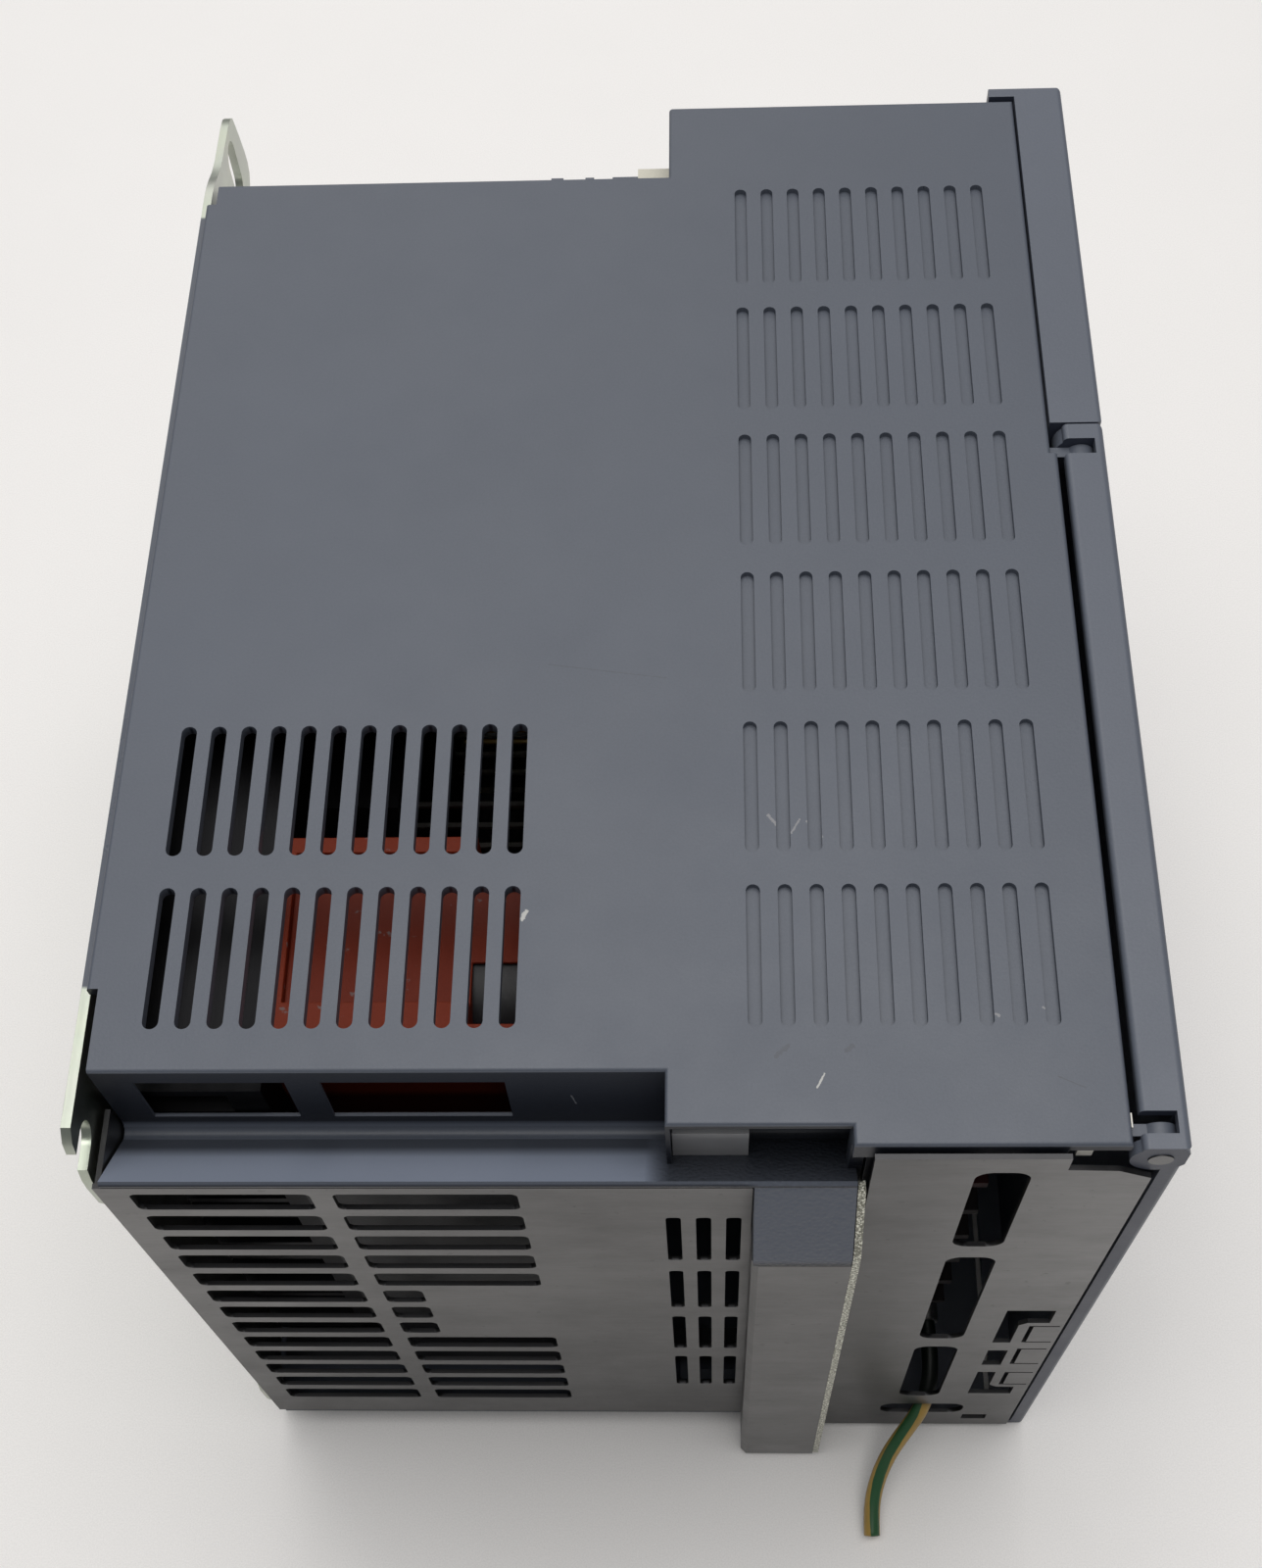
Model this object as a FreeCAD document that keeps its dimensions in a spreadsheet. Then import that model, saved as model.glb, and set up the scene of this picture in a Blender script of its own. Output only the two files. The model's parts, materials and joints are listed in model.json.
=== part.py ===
"""Variable frequency drive lying on its right side.

Row frame, in millimetres: +X is the drive's front, -X its mounting plate, +Y its top end,
-Y the end with the air inlet and the cable entries, and +Z its left side. It rests on its
right side at Z = 0, and the origin is the centre of its footprint.
"""
import FreeCAD
import Part
import Sketcher
import math
import os

from FreeCAD import Placement, Rotation, Vector

os.makedirs("parts", exist_ok=True)
doc = FreeCAD.newDocument("frequency_drive")
dims = doc.addObject("Spreadsheet::Sheet", "dims")

# Driving dimensions. Places are along the row frame's axes, and every length is in mm.
SIZES = {
    # housing
    "width": 180, "wall": 2.2, "steel": 1.6, "sheet": 0.9, "gap": 0.3,
    "casing_back": -86, "low_front": 75.3, "high_front": 74.1, "front_split": 19,
    "rear_bottom": -100.2, "mid_bottom": -109.1, "front_bottom": -112.4,
    "rear_top": 90, "front_top": 109.2, "mid_step": 5.5, "front_step": 33.9, "top_step": 5.4,
    "ear_notch_x": -84, "ear_notch_top": 84.7, "ear_notch_bottom": -86,
    "edge_round": 0.7,
    # side slots
    "slot_pitch": 5.087, "slot_length": 24.9, "slot_row_pitch": 30.8, "slot_top": 85.9,
    "blind_first": 19.4, "blind_half": 1.15, "blind_depth": 1.1,
    "open_first": -75.0, "open_half": 1.3,
    # bottom-end recess and ledge
    "end_face": -114, "ledge_edge": 167, "plate_top": 165.4, "vent_low": 161.2,
    "vent_high": 175.5, "duct_face": -120.5, "duct_left": 19.2, "duct_low": 145.6,
    "partition_back": 35.3, "thin_steel": 1.3,
    # front covers
    "cover_front": 84, "cover_back": 74.5, "cover_low": 26, "cover_top": 112.5,
    "lip_back": 69.5, "lip_low": 110.3,
    "door_back": 76.7, "door_bottom": -113, "door_top": 25.6, "door_wall": 2,
    "hinge_x": 80, "hinge_z": 175.6, "pin_radius": 1.9, "running": 0.05,
    "barrel_radius": 2.9, "lobe_radius": 4.6, "door_edge_round": 1.2, "door_back_round": 1,
    "cover_edge_round": 1,
    # mounting plate
    "plate_back": -87.6, "mount_half_tall": 105, "mount_half_wide": 80, "mount_radius": 3,
    "mount_slot": 14, "mount_low": 107.3, "ear_slot_y": 110, "ear_top": 120.5, "plate_bottom": -112.4,
    # air path
    "sink_face": -60, "sink_base": 6, "fin_back": -86, "fin_thick": 2, "fin_pitch": 8.8,
    "sink_low": -97.7,
    "fan_x": -52, "fan_low": 72.8, "fan_deep": 15, "fan_half": 30, "fan_bore": 28,
    "fan_spread": 40, "cover_out": 100.8, "shaft_radius": 1.5, "hub_radius": 12,
    # boards and terminals
    "board_thick": 1.6, "power_board_x": -13, "control_board_x": 28, "deck_back": 36.6,
    "deck_front": 39, "key_board_x": 72,
    # operator panel
    "dial_y": 56, "dial_radius": 14.6, "dial_front": 87.6, "dial_shaft": 3,
    "key_row_pitch": 18, "key_column": 34, "key_tall": 8, "key_wide": 11, "key_travel": 0.8,
}


class Size:
    """A number together with the spreadsheet expression that it comes from."""

    def __init__(self, value, text=None):
        self.value = float(value)
        self.text = text or f"({float(value):.6g})"

    def _join(self, other, sign, value):
        return Size(value, f"({self.text} {sign} {size(other).text})")

    def __add__(self, other):
        return self._join(other, "+", self.value + size(other).value)

    def __radd__(self, other):
        return size(other) + self

    def __sub__(self, other):
        return self._join(other, "-", self.value - size(other).value)

    def __rsub__(self, other):
        return size(other) - self

    def __mul__(self, other):
        return self._join(other, "*", self.value * size(other).value)

    def __rmul__(self, other):
        return size(other) * self

    def __truediv__(self, other):
        return self._join(other, "/", self.value / size(other).value)

    def __neg__(self):
        return size(-1) * self


def size(number):
    """The number as a Size."""
    return number if isinstance(number, Size) else Size(number)


for row, (alias, value) in enumerate(SIZES.items(), start=1):
    dims.set(f"A{row}", alias)
    dims.set(f"B{row}", f"{value:g}")
    dims.setAlias(f"B{row}", alias)
doc.recompute()
d = {alias: Size(value, f"dims.{alias}") for alias, value in SIZES.items()}

AXES = {"x": Vector(1, 0, 0), "y": Vector(0, 1, 0), "z": Vector(0, 0, 1)}
TURN_TO = {"x": Rotation(Vector(0, 1, 0), 90), "y": Rotation(Vector(1, 0, 0), -90), "z": Rotation()}
mid = d["width"] / 2
exported = []


# ---------------------------------------------------------------- building blocks

def part(kind, name):
    """A new document object of the Part workbench."""
    return doc.addObject(f"Part::{kind}", name)


def place(obj, point):
    """Bind an object's position to three sizes."""
    for axis, value in zip("xyz", point):
        obj.setExpression(f"Placement.Base.{axis}", size(value).text)


def block(name, x, y, z):
    """A box between two places on each axis."""
    obj = part("Box", name)
    for prop, (low, high) in zip(("Length", "Width", "Height"), (x, y, z)):
        obj.setExpression(prop, (size(high) - size(low)).text)
    place(obj, (x[0], y[0], z[0]))
    return obj


def rod(name, axis, centre, span, radius):
    """A cylinder along an axis. The centre gives its two other places in X, Y, Z order."""
    obj = part("Cylinder", name)
    obj.setExpression("Radius", size(radius).text)
    obj.setExpression("Height", (size(span[1]) - size(span[0])).text)
    obj.Placement = Placement(Vector(), TURN_TO[axis])
    point = list(centre)
    point.insert("xyz".index(axis), span[0])
    place(obj, point)
    return obj


def fuse(name, pieces):
    """One object that joins the pieces."""
    if len(pieces) == 1:
        return pieces[0]
    obj = part("MultiFuse", name)
    obj.Shapes = pieces
    return obj


def cut(name, base, tools):
    """The base with the tools taken away."""
    obj = part("Cut", name)
    obj.Base = base
    obj.Tool = fuse(f"{name}_tools", tools)
    return obj


def shared(name, base, tool):
    """The room that two objects share."""
    obj = part("Common", name)
    obj.Base = base
    obj.Tool = tool
    return obj


def group(name, pieces):
    """Separate solids kept in one sub-part."""
    obj = part("Compound", name)
    obj.Links = pieces
    return obj


def solid(name, shape):
    """A sub-part whose shape comes from Part's own functions."""
    obj = part("Feature", name)
    obj.Shape = shape
    return obj


def mirrored(name, source):
    """The source mirrored about the drive's middle plane, Z = width / 2."""
    obj = part("Mirroring", name)
    obj.Source = source
    obj.Normal = AXES["z"]
    obj.setExpression("Base.z", mid.text)
    return obj


def keep(obj, node):
    """Give a finished sub-part its node name and list it for export."""
    obj.Label = node
    exported.append(obj)
    return obj


# ---------------------------------------------------------------- PartDesign helpers

PLANES = {"z": "XY_Plane", "y": "XZ_Plane", "x": "YZ_Plane"}


def new_sketch(body, normal, name, offset):
    """A sketch on the body's origin plane with this normal, moved along it to a place."""
    sketch = body.newObject("Sketcher::SketchObject", name)
    planes = {feature.Role: feature for feature in body.Origin.OriginFeatures}
    sketch.AttachmentSupport = [(planes[PLANES[normal]], "")]
    sketch.MapMode = "FlatFace"
    along = -size(offset) if normal == "y" else size(offset)
    sketch.setExpression("AttachmentOffset.Base.z", along.text)
    return sketch


def pin_point(sketch, line, point, place_at):
    """Fix one end of a line at two sizes measured from the sketch's origin."""
    for kind, value in zip(("DistanceX", "DistanceY"), place_at):
        number = sketch.addConstraint(Sketcher.Constraint(kind, line, point, size(value).value))
        sketch.setExpression(f"Constraints[{number}]", size(value).text)


def add_outline(sketch, corners):
    """A closed outline of straight lines through the corners."""
    points = [Vector(size(u).value, size(v).value, 0) for u, v in corners]
    first = sketch.GeometryCount
    for here, there in zip(points, points[1:] + points[:1]):
        sketch.addGeometry(Part.LineSegment(here, there), False)
    for step, corner in enumerate(corners):
        line = first + step
        before = first + (step - 1) % len(corners)
        sketch.addConstraint(Sketcher.Constraint("Coincident", before, 2, line, 1))
        pin_point(sketch, line, 1, corner)


def add_rectangle(sketch, u, v):
    """A closed rectangle between two places on each of the sketch's axes."""
    add_outline(sketch, [(u[0], v[0]), (u[1], v[0]), (u[1], v[1]), (u[0], v[1])])


def add_slot(sketch, middle, low, high, half, lying=False):
    """A slot with half-round ends, upright or lying along the sketch's first axis."""
    middle, low, high, half = size(middle), size(low), size(high), size(half)
    near, far = middle - half, middle + half
    bottom, top = low + half, high - half

    def at(across, along):
        return (along, across) if lying else (across, along)

    first = sketch.GeometryCount
    sides = [(at(near, bottom), at(near, top)), (at(far, top), at(far, bottom))]
    for ends in sides:
        sketch.addGeometry(Part.LineSegment(*[Vector(u.value, v.value, 0) for u, v in ends]), False)
    turn = -math.pi / 2 if lying else 0
    for centre, start in ((at(middle, top), turn), (at(middle, bottom), turn + math.pi)):
        circle = Part.Circle(Vector(centre[0].value, centre[1].value, 0), AXES["z"], half.value)
        sketch.addGeometry(Part.ArcOfCircle(circle, start, start + math.pi), False)
    near_line, far_line, top_arc, low_arc = range(first, first + 4)
    arc_in, arc_out = (1, 2) if lying else (2, 1)
    joins = [(near_line, 2, top_arc, arc_in), (top_arc, arc_out, far_line, 1),
             (far_line, 2, low_arc, arc_in), (low_arc, arc_out, near_line, 1)]
    for join in joins:
        sketch.addConstraint(Sketcher.Constraint("Coincident", *join))
    for line, (start, end) in zip((near_line, far_line), sides):
        pin_point(sketch, line, 1, start)
        pin_point(sketch, line, 2, end)
    kind = "DistanceX" if lying else "DistanceY"
    for arc, along in ((top_arc, top), (low_arc, bottom)):
        number = sketch.addConstraint(Sketcher.Constraint(kind, arc, 3, along.value))
        sketch.setExpression(f"Constraints[{number}]", along.text)


def add_round_rectangle(sketch, u, v, radius):
    """A rectangle with quarter-round corners."""
    (left, right), (bottom, top) = [[size(end) for end in pair] for pair in (u, v)]
    radius = size(radius)
    inner_left, inner_right = left + radius, right - radius
    inner_low, inner_high = bottom + radius, top - radius
    sides = [((inner_left, bottom), (inner_right, bottom)), ((right, inner_low), (right, inner_high)),
             ((inner_right, top), (inner_left, top)), ((left, inner_high), (left, inner_low))]
    centres = [(inner_right, inner_low), (inner_right, inner_high),
               (inner_left, inner_high), (inner_left, inner_low)]
    first = sketch.GeometryCount
    for ends in sides:
        sketch.addGeometry(Part.LineSegment(*[Vector(a.value, b.value, 0) for a, b in ends]), False)
    for quarter, (a, b) in enumerate(centres, start=-1):
        circle = Part.Circle(Vector(a.value, b.value, 0), AXES["z"], radius.value)
        start = quarter * math.pi / 2
        sketch.addGeometry(Part.ArcOfCircle(circle, start, start + math.pi / 2), False)
    for step in range(4):
        line, arc, following = first + step, first + 4 + step, first + (step + 1) % 4
        sketch.addConstraint(Sketcher.Constraint("Coincident", line, 2, arc, 1))
        sketch.addConstraint(Sketcher.Constraint("Coincident", arc, 2, following, 1))
        pin_point(sketch, line, 1, sides[step][0])
        pin_point(sketch, line, 2, sides[step][1])
        number = sketch.addConstraint(Sketcher.Constraint("Radius", arc, radius.value))
        sketch.setExpression(f"Constraints[{number}]", radius.text)


def pad(body, sketch, name, length, backwards=False):
    """Grow a solid from a sketch, along its plane's normal unless it is backwards."""
    feature = body.newObject("PartDesign::Pad", name)
    feature.Profile = sketch
    feature.setExpression("Length", size(length).text)
    feature.Reversed = backwards
    doc.recompute()
    return feature


def pocket(body, sketch, name, length, backwards=False):
    """Cut a sketch out of the solid, against its plane's normal unless it is backwards."""
    before = body.Tip.Shape.Volume
    feature = body.newObject("PartDesign::Pocket", name)
    feature.Profile = sketch
    feature.setExpression("Length", size(length).text)
    feature.Reversed = backwards
    doc.recompute()
    if feature.Shape.Volume > before - 0.01:
        raise RuntimeError(f"pocket {name} cuts nothing")
    return feature


def repeat(body, feature, name, axis, step, count):
    """Repeat a feature in a row along one of the body's axes."""
    before = feature.Shape.Volume
    row = body.newObject("PartDesign::LinearPattern", name)
    lines = {item.Role: item for item in body.Origin.OriginFeatures}
    row.Originals = [feature]
    row.Direction = (lines[f"{axis.upper()}_Axis"], [""])
    row.Reversed = size(step).value < 0
    row.setExpression("Length", (size(step) * (count - 1) * (-1 if row.Reversed else 1)).text)
    row.Occurrences = count
    body.Tip = row
    doc.recompute()
    if abs(row.Shape.Volume - before) < 0.01:
        raise RuntimeError(f"pattern {name} changes nothing")
    return row


def nearest_edges(shape, points):
    """The names of the straight edges whose middles are nearest to the points."""
    names = []
    for point in points:
        gaps = []
        for number, edge in enumerate(shape.Edges, start=1):
            gaps.append((edge.distToShape(Part.Vertex(Vector(*point)))[0], number))
        names.append(f"Edge{min(gaps)[1]}")
    return names


def plate_body(name, normal, low, high):
    """An empty body and a function that adds a named pad or pocket through low..high."""
    body = doc.addObject("PartDesign::Body", name)
    start = high if normal == "y" else low

    def shape_with(label, draw, remove=False):
        sketch = new_sketch(body, normal, f"{name}_{label}_sketch", start)
        draw(sketch)
        doc.recompute()
        length = size(high) - size(low)
        if remove:
            return pocket(body, sketch, f"{name}_{label}", length, backwards=True)
        return pad(body, sketch, f"{name}_{label}", length)

    return body, shape_with


# ---------------------------------------------------------------- housing

def casing_outline(inner):
    """Corners of a casing half seen from the side: its outside, or the room inside it."""
    wall = d["wall"] if inner else 0
    back = d["casing_back"] - 4 if inner else d["casing_back"]
    front_low = d["low_front"] + 4 if inner else d["low_front"]
    front_high = front_low if inner else d["high_front"]
    rear_top, front_top = d["rear_top"] - wall, d["front_top"] - wall
    corners = [
        (back, d["rear_bottom"] + wall),
        (d["mid_step"] + wall, d["rear_bottom"] + wall),
        (d["mid_step"] + wall, d["mid_bottom"] + wall),
        (d["front_step"] + wall, d["mid_bottom"] + wall),
        (d["front_step"] + wall, d["front_bottom"] + wall),
        (front_low, d["front_bottom"] + wall),
        (front_low, d["front_split"]),
        (front_high, d["front_split"]),
        (front_high, front_top),
        (d["top_step"] + wall, front_top),
        (d["top_step"] + wall, rear_top),
        (back, rear_top),
    ]
    if inner:
        return [corner for number, corner in enumerate(corners) if number not in (6, 7)]
    notch = d["ear_notch_x"]
    low_notch = [(notch, d["rear_bottom"])]
    high_notch = [(notch, rear_top), (notch, d["ear_notch_top"]), (back, d["ear_notch_top"]),
                  (back, d["ear_notch_bottom"]), (notch, d["ear_notch_bottom"])]
    return low_notch + corners[1:-1] + high_notch


def slot_column(first, half, rows):
    """A function that draws one upright column of side slots for the given rows."""
    def draw(sketch):
        for row in rows:
            top = d["slot_top"] - d["slot_row_pitch"] * row
            add_slot(sketch, first, top - d["slot_length"], top, half)
    return draw


def casing_shell():
    """One half of the plastic housing: side wall with its slots, and half of the end walls."""
    body, add = plate_body("casing_shell", "z", mid, d["width"])
    shell = add("outside", lambda sketch: add_outline(sketch, casing_outline(False)))
    rim = nearest_edges(shell.Shape, [
        (-40, -100.2, 180), (20, -109.1, 180), (55, -112.4, 180), (75.3, -50, 180),
        (74.1, 60, 180), (40, 109.2, 180), (-40, 90, 180), (5.4, 98, 180),
        (5.5, -104, 180), (33.9, -110.7, 180), (5.4, 109.2, 130), (-86, 0, 180)])
    rounding = body.newObject("PartDesign::Fillet", "casing_edges")
    rounding.Base = (shell, rim)
    rounding.setExpression("Radius", d["edge_round"].text)
    doc.recompute()
    sketch = new_sketch(body, "z", "casing_room_sketch", mid)
    add_outline(sketch, casing_outline(True))
    doc.recompute()
    pocket(body, sketch, "casing_room", mid - d["wall"], backwards=True)
    columns = [("blind", d["blind_first"], d["blind_half"], range(6), d["blind_depth"], 10),
               ("open", d["open_first"], d["open_half"], (4, 5), d["wall"] + 1, 12)]
    for label, first, half, rows, depth, count in columns:
        sketch = new_sketch(body, "z", f"{label}_slot_sketch", d["width"])
        slot_column(first, half, rows)(sketch)
        doc.recompute()
        column = pocket(body, sketch, f"{label}_slots", depth)
        repeat(body, column, f"{label}_slot_rows", "x", d["slot_pitch"], count)
    return body


def ledge(name, x, corners):
    """A moulded strip along X with this Y-Z profile."""
    body, add = plate_body(name, "x", x[0], x[1])
    add("profile", lambda sketch: add_outline(sketch, corners))
    return body


def casing_halves():
    """Left casing with the sloped ledge and duct block, and its plainer mirror image."""
    out, edge, wall = d["end_face"], d["ledge_edge"], d["wall"]
    under = d["plate_top"] + d["gap"]
    rear = d["rear_bottom"]
    shell = casing_shell()
    below_ledge = mid + 66
    past = d["front_bottom"] - 1
    openings = [
        block("end_opening_rear", (d["casing_back"] - 1, d["sink_face"] - 0.5),
              (past, rear + wall + 0.01), (mid - 1, below_ledge)),
        block("end_opening_middle", (0, d["front_step"] + wall),
              (past, rear + wall + 0.01), (mid - 1, below_ledge)),
        block("end_opening_front", (d["front_step"], d["low_front"] + 1),
              (past, d["front_bottom"] + wall), (mid - 1, d["width"] - 5)),
        block("corner_notch", (66, d["low_front"] + 1),
              (past, d["front_bottom"] + wall), (mid + 80, d["width"] - wall)),
        block("mid_window", (d["mid_step"] + 0.7, d["front_step"] + 0.01),
              (d["mid_bottom"] - 1, -104), (edge - 8, d["width"] - 1.6)),
    ]
    for number, (low, high) in enumerate(((-78, -54), (-48.5, -19.5))):
        openings.append(block(f"end_vent_{number}", (low, high), (rear - 1, rear + wall + 0.01),
                              (d["vent_low"], d["vent_high"])))
        openings.append(block(
            f"end_vent_relief_{number}", (low - 2, high + 2), (rear + 0.5, rear + wall + 0.01),
            (d["vent_low"] - 4, d["vent_high"] + 1)))
    for number in range(11):
        start = mid + 6 + 7 * number
        openings.append(block(f"top_vent_{number}", (22, 58),
                              (d["front_top"] - wall - 1, d["front_top"] + 1), (start, start + 2.6)))
    openings.append(rod("fan_outlet", "y", (d["fan_x"], mid + d["fan_spread"]),
                        (d["rear_top"] - wall - 1, d["rear_top"] + 1), d["fan_bore"]))
    openings.append(rod("cover_screw_bore", "x", (104, mid + 78), (71, 83), 1.6))
    boss = rod("cover_screw_boss", "x", (104, mid + 78), (58, d["cover_front"] - wall), 3.6)
    shell = cut("casing_open_shell", fuse("casing_with_boss", [shell, boss]), openings)
    ledge_corners = [
        (out, under), (out, edge - 0.6), (out + 0.6, edge), (out + 11.1, edge - 9.7),
        (out + 11.8, edge - 10.2), (out + 12.6, edge - 10.2), (out + 13.3, edge - 9.7),
        (out + 13.7, edge - 8.7), (rear, edge - 7.4), (rear, edge - 6), (rear + 0.5, edge - 6),
        (rear + 0.5, edge - 10), (rear + wall, edge - 10), (rear + wall, edge - 12.4),
        (out + 10.9, edge - 12.4), (out + 1.6, edge - 3),
        (out + 1.6, under)]
    ledge_end = d["partition_back"] - 0.1
    strip = ledge("casing_ledge", (d["ear_notch_x"], ledge_end), ledge_corners)
    short_strip = ledge("right_ledge", (d["ear_notch_x"], d["duct_left"] - 0.3), ledge_corners)
    right = mirrored("right_casing", fuse("casing_half", [shell, short_strip]))
    duct_low = d["duct_low"]
    duct_corners = [
        (out + 2, edge - 1.4), (out + 0.6, edge), (d["duct_face"], edge - 17.5),
        (d["duct_face"], duct_low + 0.2), (out + 1.6, duct_low + 0.2), (out + 1.6, under - 3)]
    duct = ledge("duct_block", (d["duct_left"], ledge_end), duct_corners)
    keep(fuse("left_casing", [shell, strip, duct]), "left_casing")
    keep(right, "right_casing")


def base_plate():
    """The zinc-plated mounting plate with two slotted top ears and two open bottom slots."""
    body, add = plate_body("base_plate", "x", d["plate_back"], d["plate_back"] + d["steel"])
    wide, radius = d["mount_half_wide"], d["mount_radius"]
    top, low, rear = d["ear_top"], d["plate_bottom"], d["rear_bottom"] + 2.8
    side, bolt = mid + wide + 7.3, mid + wide - 0.3
    upper_half = [
        (rear, mid + 58), (low + 1, mid + 60), (low, mid + 64), (low, mid + 71), (low + 0.3, mid + 74),
        (low + 1, mid + 76.4), (low + 1.4, mid + 82.8), (low + 2.2, mid + 85.4), (low + 4.1, side),
        (90, side), (93, side - 0.3), (96, side - 1.1), (99, side - 2.1), (103, side - 2.8),
        (108, side - 3), (113, side - 3.2), (116, side - 3.7), (117.8, side - 4.9), (118.5, mid + 80),
        (119.4, mid + 76), (120.3, mid + 71.5), (top, mid + 68.5), (119.8, mid + 66.3),
        (118, mid + 64.8), (113, mid + 63), (94, mid + 60), (88, mid + 55)]
    lower_half = [(y, d["width"] - z) for y, z in reversed(upper_half)]
    add("outline", lambda sketch: add_outline(sketch, upper_half + lower_half))

    def draw_slots(sketch):
        closed = -d["mount_low"] + radius
        half = d["mount_slot"] / 2
        for sign in (-1, 1):
            add_slot(sketch, mid + (bolt - mid) * sign, closed - 16, closed, radius, lying=True)
            ear_middle = mid + (wide - 4.8) * sign
            add_slot(sketch, d["ear_slot_y"], ear_middle - half, ear_middle + half, radius + 0.4)

    add("mount_slots", draw_slots, remove=True)
    keep(body, "base_plate")


# ---------------------------------------------------------------- bottom end

def air_inlet_plate():
    """Steel grille over the rear of the bottom end, bent out into a raised duct face."""
    out, steel = d["end_face"], d["sheet"]
    left, right = -85.3, d["duct_left"] - 0.2
    body, add = plate_body("grille_plate", "y", out, out + steel)
    low, top = d["width"] - d["plate_top"], d["plate_top"]
    add("outline", lambda sketch: add_rectangle(sketch, (left, right), (low, top)))
    pitch, tall, first_top = 10.69, 7.45, 162.6
    rows = [("near", (-80.3, -51.3), 0, 13), ("high", (-47.7, -18.2), 0, 5),
            ("short", (-47.7, -40.4), 5, 3), ("low", (-47.7, -18.2), 8, 5)]
    for label, x, start, count in rows:
        slot_top = first_top - pitch * start
        inlet = add(label, lambda sketch, x=x, slot_top=slot_top: add_round_rectangle(
            sketch, x, (slot_top - tall, slot_top), 1.3), remove=True)
        repeat(body, inlet, f"{label}_rows", "z", size(-pitch), count)

    def draw_column(sketch):
        for row in range(4):
            slot_low = 128 - 29.35 * row
            add_round_rectangle(sketch, (5, 7.5), (slot_low, slot_low + 23), 0.8)

    column = add("small", draw_column, remove=True)
    repeat(body, column, "small_columns", "x", size(4.95), 3)
    duct_out, end = d["duct_face"], d["partition_back"]
    duct, add_duct = plate_body("duct_face", "z", 1.5, d["duct_low"])
    bend = 1.1
    add_duct("profile", lambda sketch: add_outline(sketch, [
        (right, out + steel), (right, duct_out + bend), (right + bend, duct_out), (end, duct_out),
        (end, duct_out + steel), (right + steel, duct_out + steel), (right + steel, out + steel)]))
    flange = block("side_flange", (left, left + steel), (out, d["rear_bottom"]), (low + 1, top - 1))
    lip = block("flange_lip", (left, left + steel), (out, d["rear_bottom"] + 2.3), (mid - 64, mid + 64))
    keep(fuse("air_inlet_plate", [body, duct, flange, lip]), "air_inlet_plate")


def knock_out(sketch, x, z, slit):
    """A C-shaped slit round a tab that stays joined along its front edge."""
    (left, right), (low, high) = x, z
    add_outline(sketch, [(left, low), (right, low), (right, low + slit), (left + slit * 1.6, low + slit),
                         (left + slit * 1.6, high - slit), (right, high - slit), (right, high),
                         (left, high)])


def cable_entry_plate():
    """Steel plate over the wiring compartment, with cable openings and control-wire knock-outs."""
    out = d["end_face"]
    body, add = plate_body("cable_entry_plate", "y", out, out + d["sheet"])
    right, top = 79.6, d["width"] - 1.6
    add("outline", lambda sketch: add_outline(sketch, [
        (37, 3), (right, 3), (right, 170), (74.2, 173.2), (66.4, 173.6), (66.4, top), (37, top)]))
    for number, z in enumerate(((135.8, 172.4), (77, 129.7), (30, 70.9))):
        add(f"entry_{number}", lambda sketch, z=z: add_round_rectangle(
            sketch, (52.8, 61.4), z, 2.9), remove=True)
    add("flat_entry", lambda sketch: add_round_rectangle(sketch, (49.8, 68), (14.5, 22.5), 3), remove=True)

    def draw_control_entries(sketch):
        add_outline(sketch, [(67.5, 74), (71, 74), (71, 86.5), (72.5, 88.2), (76.6, 88.2),
                             (76.6, 96.6), (67.5, 96.6)])
        add_outline(sketch, [(67.5, 32.2), (76.6, 32.2), (76.6, 38), (72.8, 38.2), (71.2, 40),
                             (71.2, 50.7), (67.5, 50.7)])
        add_rectangle(sketch, (67.5, 71.4), (56.6, 68))
        add_rectangle(sketch, (68.6, 74), (8.4, 12.4))

    add("control_entries", draw_control_entries, remove=True)

    def draw_knock_outs(sketch):
        for low, high in ((74.2, 86), (57.4, 69.4), (37.6, 50.6)):
            knock_out(sketch, (73.1, 78.9), (max(low, 40.2), high), 0.55)

    add("knock_outs", draw_knock_outs, remove=True)
    keep(body, "cable_entry_plate")


def partition_plate():
    """Zinc-plated sheet between the power section and the wiring compartment."""
    body, add = plate_body("partition_plate", "x", d["partition_back"],
                           d["partition_back"] + d["thin_steel"])
    out, duct_out = d["end_face"] - 0.2, d["duct_face"]
    inner_high, inner_low, low = 155.5, 24.5, 2.6
    add("outline", lambda sketch: add_outline(sketch, [
        (out, d["ledge_edge"] - 1.8), (duct_out, 149), (duct_out, low), (out + 1.6, low),
        (out + 1.6, inner_low), (-70, inner_low), (-70, inner_high), (out + 1.6, inner_high),
        (out + 1.6, d["ledge_edge"] - 1.8)]))
    keep(body, "partition_plate")


def chassis_bracket():
    """Folded steel strip behind the window in the recess of the bottom end."""
    front = d["mid_bottom"] + d["wall"]
    foot = block("bracket_foot", (8.2, 18.4), (front, front + 10), (163.4, 165))
    face = block("bracket_face", (6.4, 18.4), (front, front + d["steel"]), (161.05, 170.6))
    keep(fuse("chassis_bracket", [foot, face]), "chassis_bracket")


# ---------------------------------------------------------------- front covers and door

def soften(name, source, points, radius):
    """The source with the edges nearest to the points rounded."""
    doc.recompute()
    obj = part("Fillet", name)
    obj.Base = source
    numbers = [int(edge[4:]) for edge in nearest_edges(source.Shape, points)]
    obj.Edges = [(number, radius, radius) for number in sorted(set(numbers))]
    return obj


def key_places():
    """Name and centre of each operator key, in Y and Z."""
    names = ("up", "run", "mode", "stop", "down", "enter")
    for number, name in enumerate(names):
        row, side = divmod(number, 2)
        y = d["dial_y"] + d["key_row_pitch"] * (1 - row)
        z = mid + d["key_column"] * (2 * side - 1)
        yield name, y, z


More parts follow.
